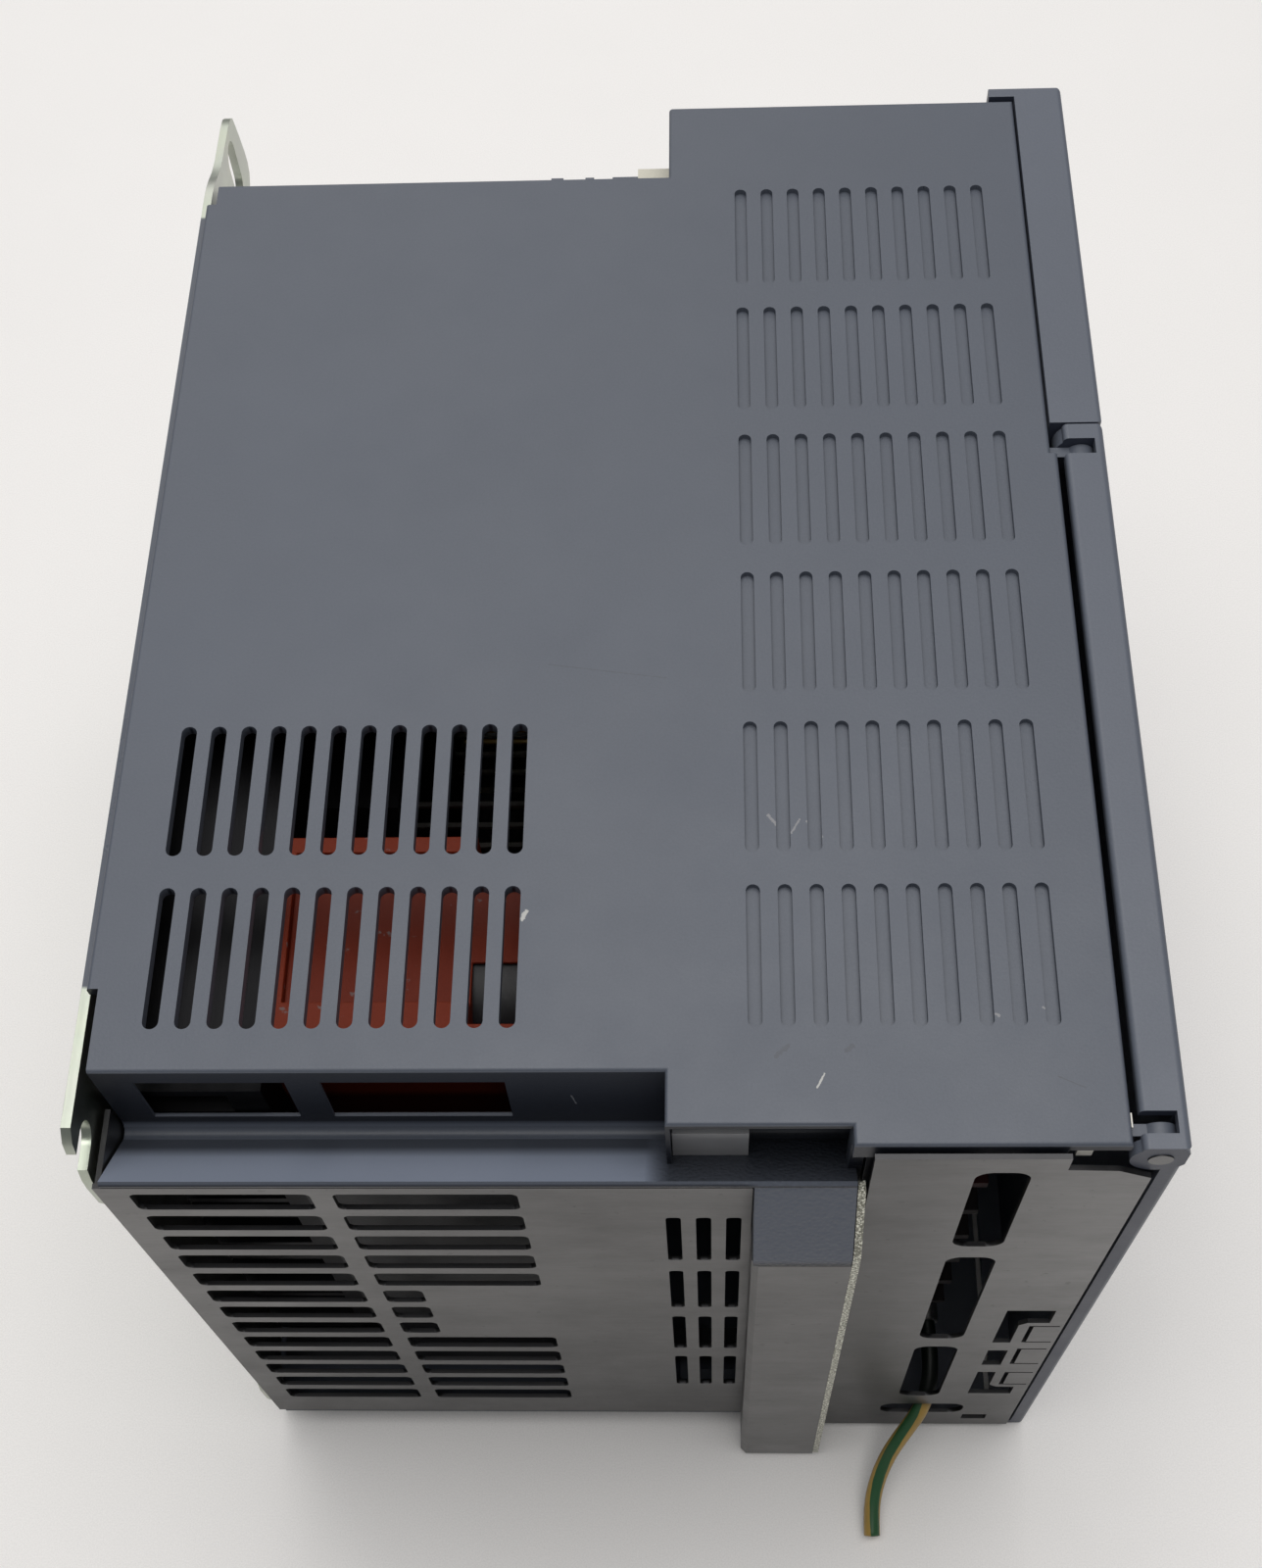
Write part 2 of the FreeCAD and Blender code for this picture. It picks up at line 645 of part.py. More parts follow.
def upper_cover():
    """Fixed front cover with the openings of the operator panel and a lip over the casing."""
    back, front, low, top = d["cover_back"], d["cover_front"], d["cover_low"], d["cover_top"]
    wall, width = d["wall"], d["width"]
    shell = soften("cover_shell", block("cover_block", (back, front), (low, top), (0, width)), [
        (84, 60, 180), (84, 60, 0), (84, 112.5, 90), (84, 26, 90)], SIZES["cover_edge_round"])
    inside = block("cover_inside", (back - 1, front - wall), (low + wall, top - wall),
                   (wall, width - wall))
    wall_hole = (front - wall - 1, front + 1)
    tools = [inside,
             block("window_hole", wall_hole, (84, 100), (mid - 28, mid + 28)),
             rod("dial_recess", "x", (d["dial_y"], mid), (front - 1.2, front + 1), d["dial_radius"] + 0.5),
             rod("dial_hole", "x", (d["dial_y"], mid), wall_hole, d["dial_shaft"] + 0.6),
             rod("lamp_hole", "x", (32, mid + 60), wall_hole, 2.1)]
    for name, y, z in key_places():
        half_tall, half_wide = d["key_tall"] / 2 + d["gap"], d["key_wide"] / 2 + d["gap"]
        tools.append(block(f"{name}_hole", wall_hole, (y - half_tall, y + half_tall),
                           (z - half_wide, z + half_wide)))
    for number, z in enumerate((mid - 78, mid + 78)):
        tools.append(rod(f"cover_screw_seat_{number}", "x", (104, z), (front - 1.4, front + 1), 3.2))
        tools.append(rod(f"cover_screw_hole_{number}", "x", (104, z), (front - 3, front), 1.6))
    lip = block("cover_lip", (d["lip_back"], back), (d["lip_low"], top), (0, width))
    board_face = d["key_board_x"] + d["board_thick"]
    posts = [rod(f"board_post_{y}_{z + 44}", "x", (y, mid + z), (board_face, front - 1), 2)
             for y in (34, 102) for z in (-44, 44)]
    keep(fuse("upper_cover", [cut("cover_cut", shell, tools), lip] + posts), "upper_cover")
    screws = []
    for number, z in enumerate((mid - 78, mid + 78)):
        head = rod(f"screw_head_{number}", "x", (104, z), (front - 1.4, front + 0.2), 3)
        shank = rod(f"screw_shank_{number}", "x", (104, z), (front - 12, front - 1.4), 1.55)
        screws.append(fuse(f"cover_screw_{number}", [head, shank]))
    keep(group("cover_screws", screws), "cover_screws")


def operator_panel():
    """Window, display, keys, dial and lamp behind the upper cover."""
    front, wall, board = d["cover_front"], d["wall"], d["key_board_x"]
    inner = front - wall
    pane = block("pane", (inner, front - 0.3), (84.2, 99.8), (mid - 27.8, mid + 27.8))
    rim = block("pane_rim", (inner - 1.3, inner), (82.6, 101.4), (mid - 29.4, mid + 29.4))
    keep(fuse("display_window", [pane, rim]), "display_window")
    keep(block("display_module", (board + d["board_thick"], 80), (85, 99), (mid - 24, mid + 24)),
         "display_module")
    hole = rod("bushing_hole", "x", (d["dial_y"], mid), (board - 1, board + 3), 4.8)
    plate = block("key_board_plate", (board, board + d["board_thick"]), (30, 106), (mid - 48, mid + 48))
    keep(cut("key_board", plate, [hole]), "key_board")
    switches = []
    for name, y, z in key_places():
        switches.append(block(f"{name}_switch", (board + d["board_thick"], 78.4), (y - 3, y + 3),
                              (z - 3, z + 3)))
    keep(group("key_switches", switches), "key_switches")
    for name, y, z in key_places():
        half_tall, half_wide = d["key_tall"] / 2, d["key_wide"] / 2
        cap = block(f"{name}_cap", (inner - 0.3, front + 0.8), (y - half_tall, y + half_tall),
                    (z - half_wide, z + half_wide))
        flange = block(f"{name}_flange", (inner - 1.6, inner - 0.3), (y - half_tall - 1, y + half_tall + 1),
                       (z - half_wide - 1, z + half_wide + 1))
        stem = rod(f"{name}_stem", "x", (y, z), (79.5, inner - 1.6), 1.8)
        keep(fuse(f"{name}_key", [cap, flange, stem]), f"{name}_key")
    knob = rod("knob", "x", (d["dial_y"], mid), (front - 0.9, d["dial_front"]), d["dial_radius"])
    shaft = rod("knob_shaft", "x", (d["dial_y"], mid), (66.7, front - 0.9), d["dial_shaft"])
    dimple = rod("knob_dimple", "x", (d["dial_y"] + 8.5, mid), (d["dial_front"] - 0.7, 90), 3)
    keep(cut("frequency_dial", fuse("dial_solid", [knob, shaft]), [dimple]), "frequency_dial")
    body = block("encoder_box", (65.4, board), (d["dial_y"] - 6.5, d["dial_y"] + 6.5),
                 (mid - 6.5, mid + 6.5))
    bushing = rod("encoder_bushing", "x", (d["dial_y"], mid), (board, 78), 4.5)
    bore = rod("encoder_bore", "x", (d["dial_y"], mid), (66.4, 79), d["dial_shaft"] + d["running"])
    keep(cut("dial_encoder", fuse("encoder_solid", [body, bushing]), [bore]), "dial_encoder")
    lens = rod("lamp_lens", "x", (32, mid + 60), (inner - 2, front + 0.3), 2)
    rim = rod("lamp_rim", "x", (32, mid + 60), (inner - 2, inner), 3)
    keep(fuse("charge_lamp", [lens, rim]), "charge_lamp")


def hinge_rod(name, span, radius):
    """A cylinder on the door's hinge axis."""
    return rod(name, "y", (d["hinge_x"], d["hinge_z"]), span, radius)


def door_and_hinge():
    """Swinging terminal door, its brackets and its two pins."""
    back, front, low, top = d["door_back"], d["cover_front"], d["door_bottom"], d["door_top"]
    wall, width, x, z = d["door_wall"], d["width"], d["hinge_x"], d["hinge_z"]
    shell = soften("door_shell", block("door_block", (back, front), (low, top), (0, width)), [
        (84, -50, 180), (84, -50, 0), (84, -113, 90), (84, 25.6, 90)], SIZES["door_edge_round"])
    shell = soften("door_back_edge", shell, [(76.7, -50, 180)], SIZES["door_back_round"])
    tools = [
        block("door_inside", (back - 1, front - wall), (low + wall, top - 3.3), (wall, width - wall)),
        block("door_end_cut", (back - 1, x + 0.8), (low - 1, low + wall), (wall, width - wall)),
        block("lower_cut_out", (back - 1, x + 2.2), (low + 2.5, low + 6.1), (z, width + 1)),
        block("upper_cut_out", (back - 1, x + 2.2), (top - 6.7, top - 3.3), (z, width + 1)),
        hinge_rod("lower_pocket", (low + 2.5, low + 6.1), d["barrel_radius"] + 0.45),
        hinge_rod("upper_pocket", (top - 6.7, top - 3.3), d["barrel_radius"] + 0.45),
        rod("lock_seat", "x", (-40, 12), (front - 1.7, front + 1), 4.8),
        rod("lock_bore", "x", (-40, 12), (front - 4, front), 2.5 + d["running"])]
    lobes = []
    for number, span in enumerate(((low, low + wall), (top - 3.3, top))):
        disc = hinge_rod(f"lobe_disc_{number}", span, d["lobe_radius"])
        room = block(f"lobe_room_{number}", (x - 5, front), span, (z - 6, width))
        lobes.append(shared(f"door_lobe_{number}", disc, room))
    bore_radius = d["pin_radius"] + d["running"]
    bores = [hinge_rod("lower_bore", (low - 1, low + 3), bore_radius),
             hinge_rod("upper_bore", (top - 3.4, top + 1), bore_radius)]
    door = fuse("door_with_lobes", [cut("door_cut", shell, tools)] + lobes)
    keep(cut("door", door, bores), "door")
    spans = [(low + 2.9, low + 4.9), (top - 5.6, top - 3.4)]
    pin_spans = [(low - 0.2, low + 4.9), (top - 5.6, top - 0.3)]
    brackets, pins = [], []
    for number, (span, pin_span) in enumerate(zip(spans, pin_spans)):
        barrel = hinge_rod(f"barrel_{number}", span, d["barrel_radius"])
        arm = block(f"arm_{number}", (70, x - 1), span, (z - 2, z + 2.05))
        foot = block(f"foot_{number}", (64, 72), (span[0], span[1] + 4), (z - 3.6, width - d["wall"]))
        bore = hinge_rod(f"bracket_bore_{number}", (span[0] - 1, span[1] + 1), d["pin_radius"])
        bracket = fuse(f"bracket_solid_{number}", [barrel, arm, foot])
        brackets.append(cut(f"bracket_{number}", bracket, [bore]))
        pins.append(hinge_rod(f"pin_{number}", pin_span, d["pin_radius"]))
    keep(group("hinge_brackets", brackets), "hinge_brackets")
    keep(group("hinge_pins", pins), "hinge_pins")
    head = rod("lock_head", "x", (-40, 12), (front - 1.4, front), 4.5)
    slot = block("lock_driver_slot", (front - 0.8, front + 1), (-43.6, -36.4), (11.4, 12.6))
    stem = rod("lock_stem", "x", (-40, 12), (71.8, front - 1.4), 2.5)
    cam = block("lock_cam", (71.8, 73.3), (-40, -33), (9.8, 14.2))
    keep(cut("door_lock", fuse("lock_solid", [head, stem, cam]), [slot]), "door_lock")
    keep(block("door_catch", (73.7, 75.2), (-44, -36), (d["wall"], 6.8)), "door_catch")


# ---------------------------------------------------------------- wiring compartment

def terminal_deck():
    """Moulded deck between the electronics and the wiring compartment."""
    low, high = d["wall"] + 0.3, d["width"] - d["wall"] - 0.3
    deck = block("deck_plate", (d["deck_back"], d["deck_front"]), (-109.8, 18.4), (low, high))
    sill = block("deck_sill", (d["deck_front"], 73.5), (16.2, 18.4), (low, high))
    keep(fuse("terminal_deck", [deck, sill]), "terminal_deck")


def power_terminals():
    """Heat-proof terminal block for mains and motor cables, with its clamp screws."""
    deck, low, high, count = d["deck_front"], 46, 166, 8
    pitch = (high - low) / count
    base = block("terminal_base", (deck, 54), (-98, -72), (low, high))
    barriers = [block(f"barrier_{n}", (54, 62), (-98, -72),
                      (low + pitch * n - (1.2 if n else 0), low + pitch * n + (1.2 if n < count else 0)))
                for n in range(count + 1)]
    seats = [rod(f"terminal_seat_{n}", "x", (-86, low + pitch * (n + 0.5)), (46, 55), 2)
             for n in range(count)]
    block_solid = cut("power_terminal_block", fuse("terminal_solid", [base] + barriers), seats)
    keep(block_solid, "power_terminal_block")
    screws, straps = [], []
    for n in range(count):
        z = low + pitch * (n + 0.5)
        strap = block(f"strap_{n}", (54, 55.2), (-93, -79), (z - 5, z + 5))
        strap_hole = rod(f"strap_hole_{n}", "x", (-86, z), (53, 56), 2)
        straps.append(cut(f"terminal_strap_{n}", strap, [strap_hole]))
        head = rod(f"clamp_head_{n}", "x", (-86, z), (55.2, 58.4), 3.8)
        shank = rod(f"clamp_shank_{n}", "x", (-86, z), (46.2, 55.2), 1.95)
        cross = block(f"clamp_slot_{n}", (57.4, 59), (-89, -83), (z - 0.5, z + 0.5))
        screws.append(cut(f"clamp_screw_{n}", fuse(f"clamp_{n}", [head, shank]), [cross]))
    keep(group("power_terminal_screws", screws), "power_terminal_screws")
    keep(group("terminal_straps", straps), "terminal_straps")


def control_terminals():
    """Two-tier control terminal strip, communication socket and the logic slide switch."""
    deck, count, low = d["deck_front"], 14, 48
    pitch = 7.2
    rear = block("strip_rear", (deck, 56), (-46, -38), (low - 4, low + pitch * count - 3))
    near = block("strip_near", (deck, 50), (-54, -46), (low - 4, low + pitch * count - 3))
    seats = []
    screws = []
    for tier, (y, face) in enumerate(((-42, 56), (-50, 50))):
        for n in range(count):
            z = low + pitch * n
            seats.append(rod(f"seat_{tier}_{n}", "x", (y, z), (face - 3, face + 1), 1.7))
            screws.append(rod(f"control_screw_{tier}_{n}", "x", (y, z), (face - 3, face - 0.6), 1.6))
    keep(cut("control_terminal_block", fuse("strip_solid", [rear, near]), seats), "control_terminal_block")
    keep(group("control_terminal_screws", screws), "control_terminal_screws")
    shell = block("socket_shell", (deck, 54), (-20, -6), (140, 156))
    mouth = block("socket_mouth", (43, 55), (-18, -8), (142, 154))
    keep(cut("comms_socket", shell, [mouth]), "comms_socket")
    box = block("switch_box", (deck, 46), (-28, -20), (112, 126))
    track = block("switch_track", (42, 47), (-25.6, -22.4), (113.5, 124.5))
    keep(cut("logic_switch_body", box, [track]), "logic_switch_body")
    keep(block("logic_switch_slider", (42.3, 47.4), (-25.3, -22.7), (115.5, 119.5)), "logic_switch_slider")


def earth_terminal():
    """Zinc-plated earthing bracket with its screw and the wire's crimped ring lug."""
    y, z = -81.5, 25.5
    stand = block("earth_stand", (d["deck_front"], 59.3), (-86, -77), (z - 5, z + 5))
    tapped = rod("earth_thread", "x", (y, z), (50, 60), 2)
    keep(cut("earth_terminal", stand, [tapped]), "earth_terminal")
    ring = rod("lug_ring", "x", (y, z), (59.3, 60.2), 4.2)
    neck = block("lug_neck", (59.3, 60.2), (-90, -84), (z - 2.2, z + 2.2))
    sleeve = rod("lug_sleeve", "y", (60.2, z), (-96.5, -88), 2.6)
    eye = rod("lug_eye", "x", (y, z), (59, 61), 2.05)
    hollow = rod("lug_hollow", "y", (60.2, z), (-97, -95.5), 1.8)
    keep(cut("earth_lug", fuse("lug_solid", [ring, neck, sleeve]), [eye, hollow]), "earth_lug")
    head = rod("earth_head", "x", (y, z), (60.2, 63.2), 3.6)
    shank = rod("earth_shank", "x", (y, z), (50.3, 60.2), 1.95)
    cross = block("earth_slot", (62.3, 64), (y - 3, y + 3), (z - 0.5, z + 0.5))
    keep(cut("earth_screw", fuse("earth_screw_solid", [head, shank]), [cross]), "earth_screw")


def wire_route():
    """Points of the green and yellow earth wire from its lug to its cut end, chosen by hand."""
    return [
        (60.2, -95.5, 25.5),
        (60.8, -102.6, 25.0),
        (60.7, -109.0, 22.8),
        (58.8, -114.4, 19.2),
        (55.2, -118.4, 14.8),
        (51.5, -122.9, 10.4),
        (49.0, -128.3, 6.4),
        (48.0, -133.6, 3.5),
        (48.1, -138.6, 1.9),
    ]


def rounded_path(points):
    """Straight runs through the points, joined by tangent arcs, as one wire with its radii."""
    points = [Vector(*point) for point in points]
    edges, radii = [], []
    start = points[0]
    for before, corner, after in zip(points, points[1:], points[2:]):
        into, out = (corner - before), (after - corner)
        turn = into.getAngle(out)
        reach = 0.45 * min(into.Length, out.Length)
        radii.append(reach / math.tan(turn / 2))
        into.normalize()
        out.normalize()
        first, last = corner - into * reach, corner + out * reach
        inward = out - into
        inward.normalize()
        centre_gap = radii[-1] / math.cos(turn / 2)
        middle = corner + inward * (centre_gap - radii[-1])
        edges.append(Part.LineSegment(start, first).toShape())
        edges.append(Part.Arc(first, middle, last).toShape())
        start = last
    edges.append(Part.LineSegment(start, points[-1]).toShape())
    return Part.Wire(edges), radii


def ground_wire():
    """The earth wire as a plain tube."""
    radius = 1.8
    points = wire_route()
    path, radii = rounded_path(points)
    along = Vector(*points[1]) - Vector(*points[0])
    ring = Part.Wire([Part.Circle(Vector(*points[0]), along, radius).toShape()])
    tube = path.makePipeShell([ring], True, False)
    expected = math.pi * radius ** 2 * path.Length
    print("wire length", round(path.Length, 1), "radii", [round(value, 1) for value in radii])
    print("wire volume", round(tube.Volume, 1), "expected", round(expected, 1))
    keep(solid("ground_wire", tube), "ground_wire")


# ---------------------------------------------------------------- power section

def heat_sink():
    """Finned aluminium extrusion along the back of the drive."""
    body, add = plate_body("heat_sink", "y", d["sink_low"], size(66))
    count = 18
    half_wide = (d["fin_pitch"] * (count - 1) + d["fin_thick"]) / 2
    low, high = mid - half_wide, mid + half_wide
    face, base = d["sink_face"], d["sink_base"]
    add("base", lambda sketch: add_rectangle(sketch, (face - base, face), (low, high)))
    fin = add("fin", lambda sketch: add_rectangle(sketch, (d["fin_back"], face - base),
                                                  (low, low + d["fin_thick"])))
    repeat(body, fin, "fins", "z", d["fin_pitch"], count)
    keep(body, "heat_sink")


def capacitors():
    """Four smoothing capacitors held in an orange moulded holder."""
    y, low, high, holder_y = -73, 14, 166, (-91, -51)
    places = [low + 19 + 38 * n for n in range(4)]
    face = d["sink_face"]
    holder = block("holder_block", (face, -16), holder_y, (low, high))
    tools = [rod(f"holder_bore_{n}", "x", (y, z), (face - 1, -15), 16.2) for n, z in enumerate(places)]
    tools.append(block("holder_tray_left", (face + 2, -18), (-82, -54), (high - 2, high + 1)))
    tools.append(block("holder_tray_right", (face + 2, -18), (-82, -54), (low - 1, low + 2)))
    tools.append(block("holder_window", (-27, -15), (-86, -74), (150, high + 1)))
    tools.append(block("holder_corner", (-27, -15), (-58, -49), (150, high + 1)))
    keep(cut("capacitor_holder", holder, tools), "capacitor_holder")
    cans = [rod(f"can_{n}", "x", (y, z), (face, d["power_board_x"]), 15.9) for n, z in enumerate(places)]
    keep(group("smoothing_capacitors", cans), "smoothing_capacitors")


def boards():
    """Power and control boards with their spacers and the larger parts on them."""
    power, control, thick = d["power_board_x"], d["control_board_x"], d["board_thick"]
    face = d["sink_face"]
    keep(block("power_board", (power, power + thick), (-96, 82), (8, 172)), "power_board")
    keep(block("control_board", (control, control + thick), (-50, 100), (8, 172)), "control_board")
    corners = [(y, z) for y in (0, 62) for z in (20, 154)]
    posts = [rod(f"post_{n}", "x", place_at, (face, power), 3) for n, place_at in enumerate(corners)]
    keep(group("board_pillars", posts), "board_pillars")
    spacers = [rod(f"spacer_{n}", "x", place_at, (power + thick, control), 3)
               for n, place_at in enumerate(corners)]
    keep(group("board_spacers", spacers), "board_spacers")
    keep(block("power_module", (face, face + 14), (-30, 26), (40, 140)), "power_module")
    keep(block("rectifier_module", (face, face + 14), (32, 58), (60, 120)), "rectifier_module")
    pins = [block(f"module_pin_{row}_{n}", (face + 14, power), (y, y + 1), (48 + 8 * n, 49 + 8 * n))
            for row, y in enumerate((-28, 23)) for n in range(12)]
    keep(group("module_pins", pins), "module_pins")
    keep(block("main_relay", (power + thick, 12), (34, 60), (56, 84)), "main_relay")
    keep(block("control_transformer", (power + thick, 16), (-20, 16), (100, 134)), "control_transformer")
    keep(block("board_connector", (power + thick, control), (66, 74), (70, 110)), "board_connector")


# ---------------------------------------------------------------- cooling fans

def fan(label, z):
    """Square fan frame with its motor, and the impeller that turns on its shaft."""
    x, low, deep, half = d["fan_x"], d["fan_low"], d["fan_deep"], d["fan_half"]
    top = low + deep
    outer = block(f"{label}_square", (x - half, x + half), (low, top), (z - half, z + half))
    bore = rod(f"{label}_bore", "y", (x, z), (low - 1, top + 1), d["fan_bore"])
    spokes = [block(f"{label}_spoke_x", (x - half + 1, x + half - 1), (top - 3, top), (z - 1.5, z + 1.5)),
              block(f"{label}_spoke_z", (x - 1.5, x + 1.5), (top - 3, top), (z - half + 1, z + half - 1))]
    motor = rod(f"{label}_motor", "y", (x, z), (top - 5, top), d["hub_radius"])
    shaft = rod(f"{label}_shaft", "y", (x, z), (low + 3.5, top - 5), d["shaft_radius"])
    frame = fuse(f"{label}_frame", [cut(f"{label}_ring", outer, [bore]), motor, shaft] + spokes)
    keep(frame, f"fan_frame_{label}")
    hub = rod(f"{label}_hub", "y", (x, z), (low + 1, top - 5.5), d["hub_radius"])
    blades = []
    count, pitch_angle = 7, 38
    for n in range(count):
        blade = part("Box", f"{label}_blade_{n}")
        blade.Length, blade.Width, blade.Height = 15, 1.4, 10.5
        turn = Rotation(AXES["y"], 360 * n / count) * Rotation(AXES["x"], pitch_angle)
        centre = Vector(x.value, (low + deep / 2 - 2.2).value, size(z).value)
        reach = turn.multVec(Vector(11.4, -0.7, -5.25))
        blade.Placement = Placement(centre + reach, turn)
        blades.append(blade)
    eye = rod(f"{label}_eye", "y", (x, z), (low + 3.4, top), d["shaft_radius"] + d["running"])
    keep(cut(f"{label}_impeller", fuse(f"{label}_rotor", [hub] + blades), [eye]), f"fan_impeller_{label}")


def fans_and_cover():
    """Two fans under the top end, and the moulded grille over them."""
    for label, sign in (("left", 1), ("right", -1)):
        fan(label, mid + d["fan_spread"] * sign)
    low, out, x = d["rear_top"], d["cover_out"], d["fan_x"]
    wide = 79
    plain = block("fan_cover_block", (-83, 4), (low, out), (mid - wide, mid + wide))
    box = soften("fan_cover_box", plain, [
        (-40, 100.8, 169), (-40, 100.8, 11), (-83, 100.8, 90), (4, 100.8, 90)], SIZES["cover_edge_round"])
    tools = [block("fan_cover_inside", (-81, 2), (low - 1, out - 2), (mid - wide + 2, mid + wide - 2))]
    grille = []
    for label, sign in (("left", 1), ("right", -1)):
        z = mid + d["fan_spread"] * sign
        tools.append(rod(f"outlet_{label}", "y", (x, z), (out - 3, out + 1), 27))
        for number, outer in enumerate((22, 16, 10)):
            ring = rod(f"ring_{label}_{number}", "y", (x, z), (out - 2, out), outer)
            hole = rod(f"ring_hole_{label}_{number}", "y", (x, z), (out - 3, out + 1), outer - 2)
            grille.append(cut(f"grille_ring_{label}_{number}", ring, [hole]))
        grille.append(rod(f"boss_{label}", "y", (x, z), (out - 2, out), 4))
        grille.append(block(f"bar_x_{label}", (x - 28, x + 28), (out - 2, out), (z - 1, z + 1)))
        grille.append(block(f"bar_z_{label}", (x - 1, x + 1), (out - 2, out), (z - 28, z + 28)))
    ribs = [block(f"cover_rib_{n}", (ax, bx), (out, out + 1.4), (mid + 40, mid + wide))
            for n, (ax, bx) in enumerate(((-19, -16.5), (-12, -10.2), (-6.4, -1.2)))]
    keep(fuse("fan_cover", [cut("fan_cover_cut", box, tools)] + grille + ribs), "fan_cover")
    keep(block("fan_plug", (-1.2, d["top_step"] - 0.2), (out, out + 3.5), (mid + 58, mid + 79)), "fan_plug")


def edge_clips():
    """Two small clips of pale plastic at the edges of the wiring compartment."""
    casing_end, front, width = d["front_bottom"], d["low_front"], d["width"]
    notch_clip = block("notch_clip", (67.6, 70), (casing_end + 0.6, casing_end + 1.2),
                       (174, width - d["wall"]))
    rim_clip = block("rim_clip", (front, front + 0.2), (-109.4, -107.1), (width - 2, width - 0.4))
    keep(group("edge_clips", [notch_clip, rim_clip]), "edge_clips")


def check_document():
    """Stop when an object failed or a sub-part has no sound shape."""
    doc.recompute()
    for obj in doc.Objects:
        if "Invalid" in obj.State or "Error" in obj.State:
            raise RuntimeError(f"{obj.Name} failed: {obj.State}")
    for obj in exported:
        if obj.Shape.isNull() or not obj.Shape.isValid():
            raise RuntimeError(f"{obj.Label} has no valid shape")
        if obj.Shape.Volume < 1:
            raise RuntimeError(f"{obj.Label} is empty")


casing_halves()
base_plate()
air_inlet_plate()
cable_entry_plate()
partition_plate()
chassis_bracket()
upper_cover()
operator_panel()
door_and_hinge()
terminal_deck()
power_terminals()
control_terminals()
earth_terminal()
ground_wire()
heat_sink()
capacitors()
boards()
fans_and_cover()
edge_clips()
check_document()
for obj in exported:
    obj.Shape.exportStep(f"parts/{obj.Label}.step")
    print(obj.Label, len(obj.Shape.Solids), round(obj.Shape.Volume))
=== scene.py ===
"""Looks of the variable frequency drive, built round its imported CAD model."""

import json
import math

import bmesh
import bpy
from mathutils import Euler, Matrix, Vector


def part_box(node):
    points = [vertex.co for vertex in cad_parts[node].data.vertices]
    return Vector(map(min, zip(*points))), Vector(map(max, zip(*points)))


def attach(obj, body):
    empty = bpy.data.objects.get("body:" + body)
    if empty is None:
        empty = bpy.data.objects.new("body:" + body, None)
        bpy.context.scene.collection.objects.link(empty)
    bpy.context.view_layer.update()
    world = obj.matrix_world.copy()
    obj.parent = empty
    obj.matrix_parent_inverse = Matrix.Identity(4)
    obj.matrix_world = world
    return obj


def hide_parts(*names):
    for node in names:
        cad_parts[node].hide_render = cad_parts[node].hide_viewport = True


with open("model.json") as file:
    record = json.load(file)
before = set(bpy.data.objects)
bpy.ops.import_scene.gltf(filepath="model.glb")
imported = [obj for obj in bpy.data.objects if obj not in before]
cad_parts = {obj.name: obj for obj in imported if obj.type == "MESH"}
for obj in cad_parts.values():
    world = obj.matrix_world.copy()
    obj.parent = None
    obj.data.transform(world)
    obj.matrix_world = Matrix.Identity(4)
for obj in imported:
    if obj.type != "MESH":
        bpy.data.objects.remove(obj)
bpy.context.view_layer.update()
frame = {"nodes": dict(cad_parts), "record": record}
nodes = frame["nodes"]
scene = bpy.context.scene
MM = 0.001

# colours, as linear red, green and blue
CASING_GREY = (0.069, 0.079, 0.101)
COVER_GREY = (0.086, 0.097, 0.122)
STEEL_GREY = (0.160, 0.158, 0.157)
ENTRY_STEEL_GREY = (0.140, 0.139, 0.139)
LINT_GREY = (0.24, 0.22, 0.22)
SHADOW = (0.006, 0.006, 0.008)

# places on the drive, in millimetres in the frame's axes, and two directions that faces look in
SIDE_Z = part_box("left_casing")[1].z / MM
RECESS_WALL_Y = -100.2
LEDGE_LIP_Y = -113.4
LEDGE_EDGE_Z = 166.6
GRILLE_FACE_Y = -114.0
GRILLE_INSIDE_Z = 156
HOLDER_FACE_Y = -91
HOLDER_TOP_Z = 166
GUTTER_SLOPE = (0, 0.68, 0.73)
HUMP_SLANT = (0, -0.95, 0.31)

# CAD pieces shown with broken edges: piece, body, width of the broken edge in millimetres
BROKEN_EDGES = [
    ("left_casing", "drive", 0.15), ("right_casing", "drive", 0.15), ("base_plate", "drive", 0.2),
    ("air_inlet_plate", "drive", 0.12), ("cable_entry_plate", "drive", 0.12),
    ("partition_plate", "drive", 0.1), ("upper_cover", "drive", 0.15),
    ("capacitor_holder", "drive", 0.4), ("fan_cover", "drive", 0.2),
    ("power_terminal_block", "drive", 0.3), ("hinge_brackets", "drive", 0.3), ("door", "door", 0.15),
]


# ---------------------------------------------------------------- camera, floor and light

def set_camera():
    """The photograph's viewpoint: above the bottom end, looking down and towards the top end."""
    place, turn = (12.18, -215.2, 456.67), (27.149, 2.110, 0.696)
    data = bpy.data.cameras.new("camera")
    data.lens = 44.92
    data.sensor_width = 36
    data.shift_x = -0.0011
    data.shift_y = 0.0831
    data.clip_start = 0.01
    camera = bpy.data.objects.new("camera", data)
    camera.location = Vector(place) * MM
    camera.rotation_euler = Euler([math.radians(angle) for angle in turn])
    scene.collection.objects.link(camera)
    scene.camera = camera


def add_area(name, place, aim, size, power, color):
    """A soft rectangular light aimed at a point."""
    data = bpy.data.lights.new(name, "AREA")
    data.shape = "RECTANGLE"
    data.size, data.size_y = size
    data.energy = power
    data.color = color
    lamp = bpy.data.objects.new(name, data)
    lamp.location = place
    lamp.rotation_euler = (Vector(aim) - Vector(place)).to_track_quat("-Z", "Y").to_euler()
    scene.collection.objects.link(lamp)


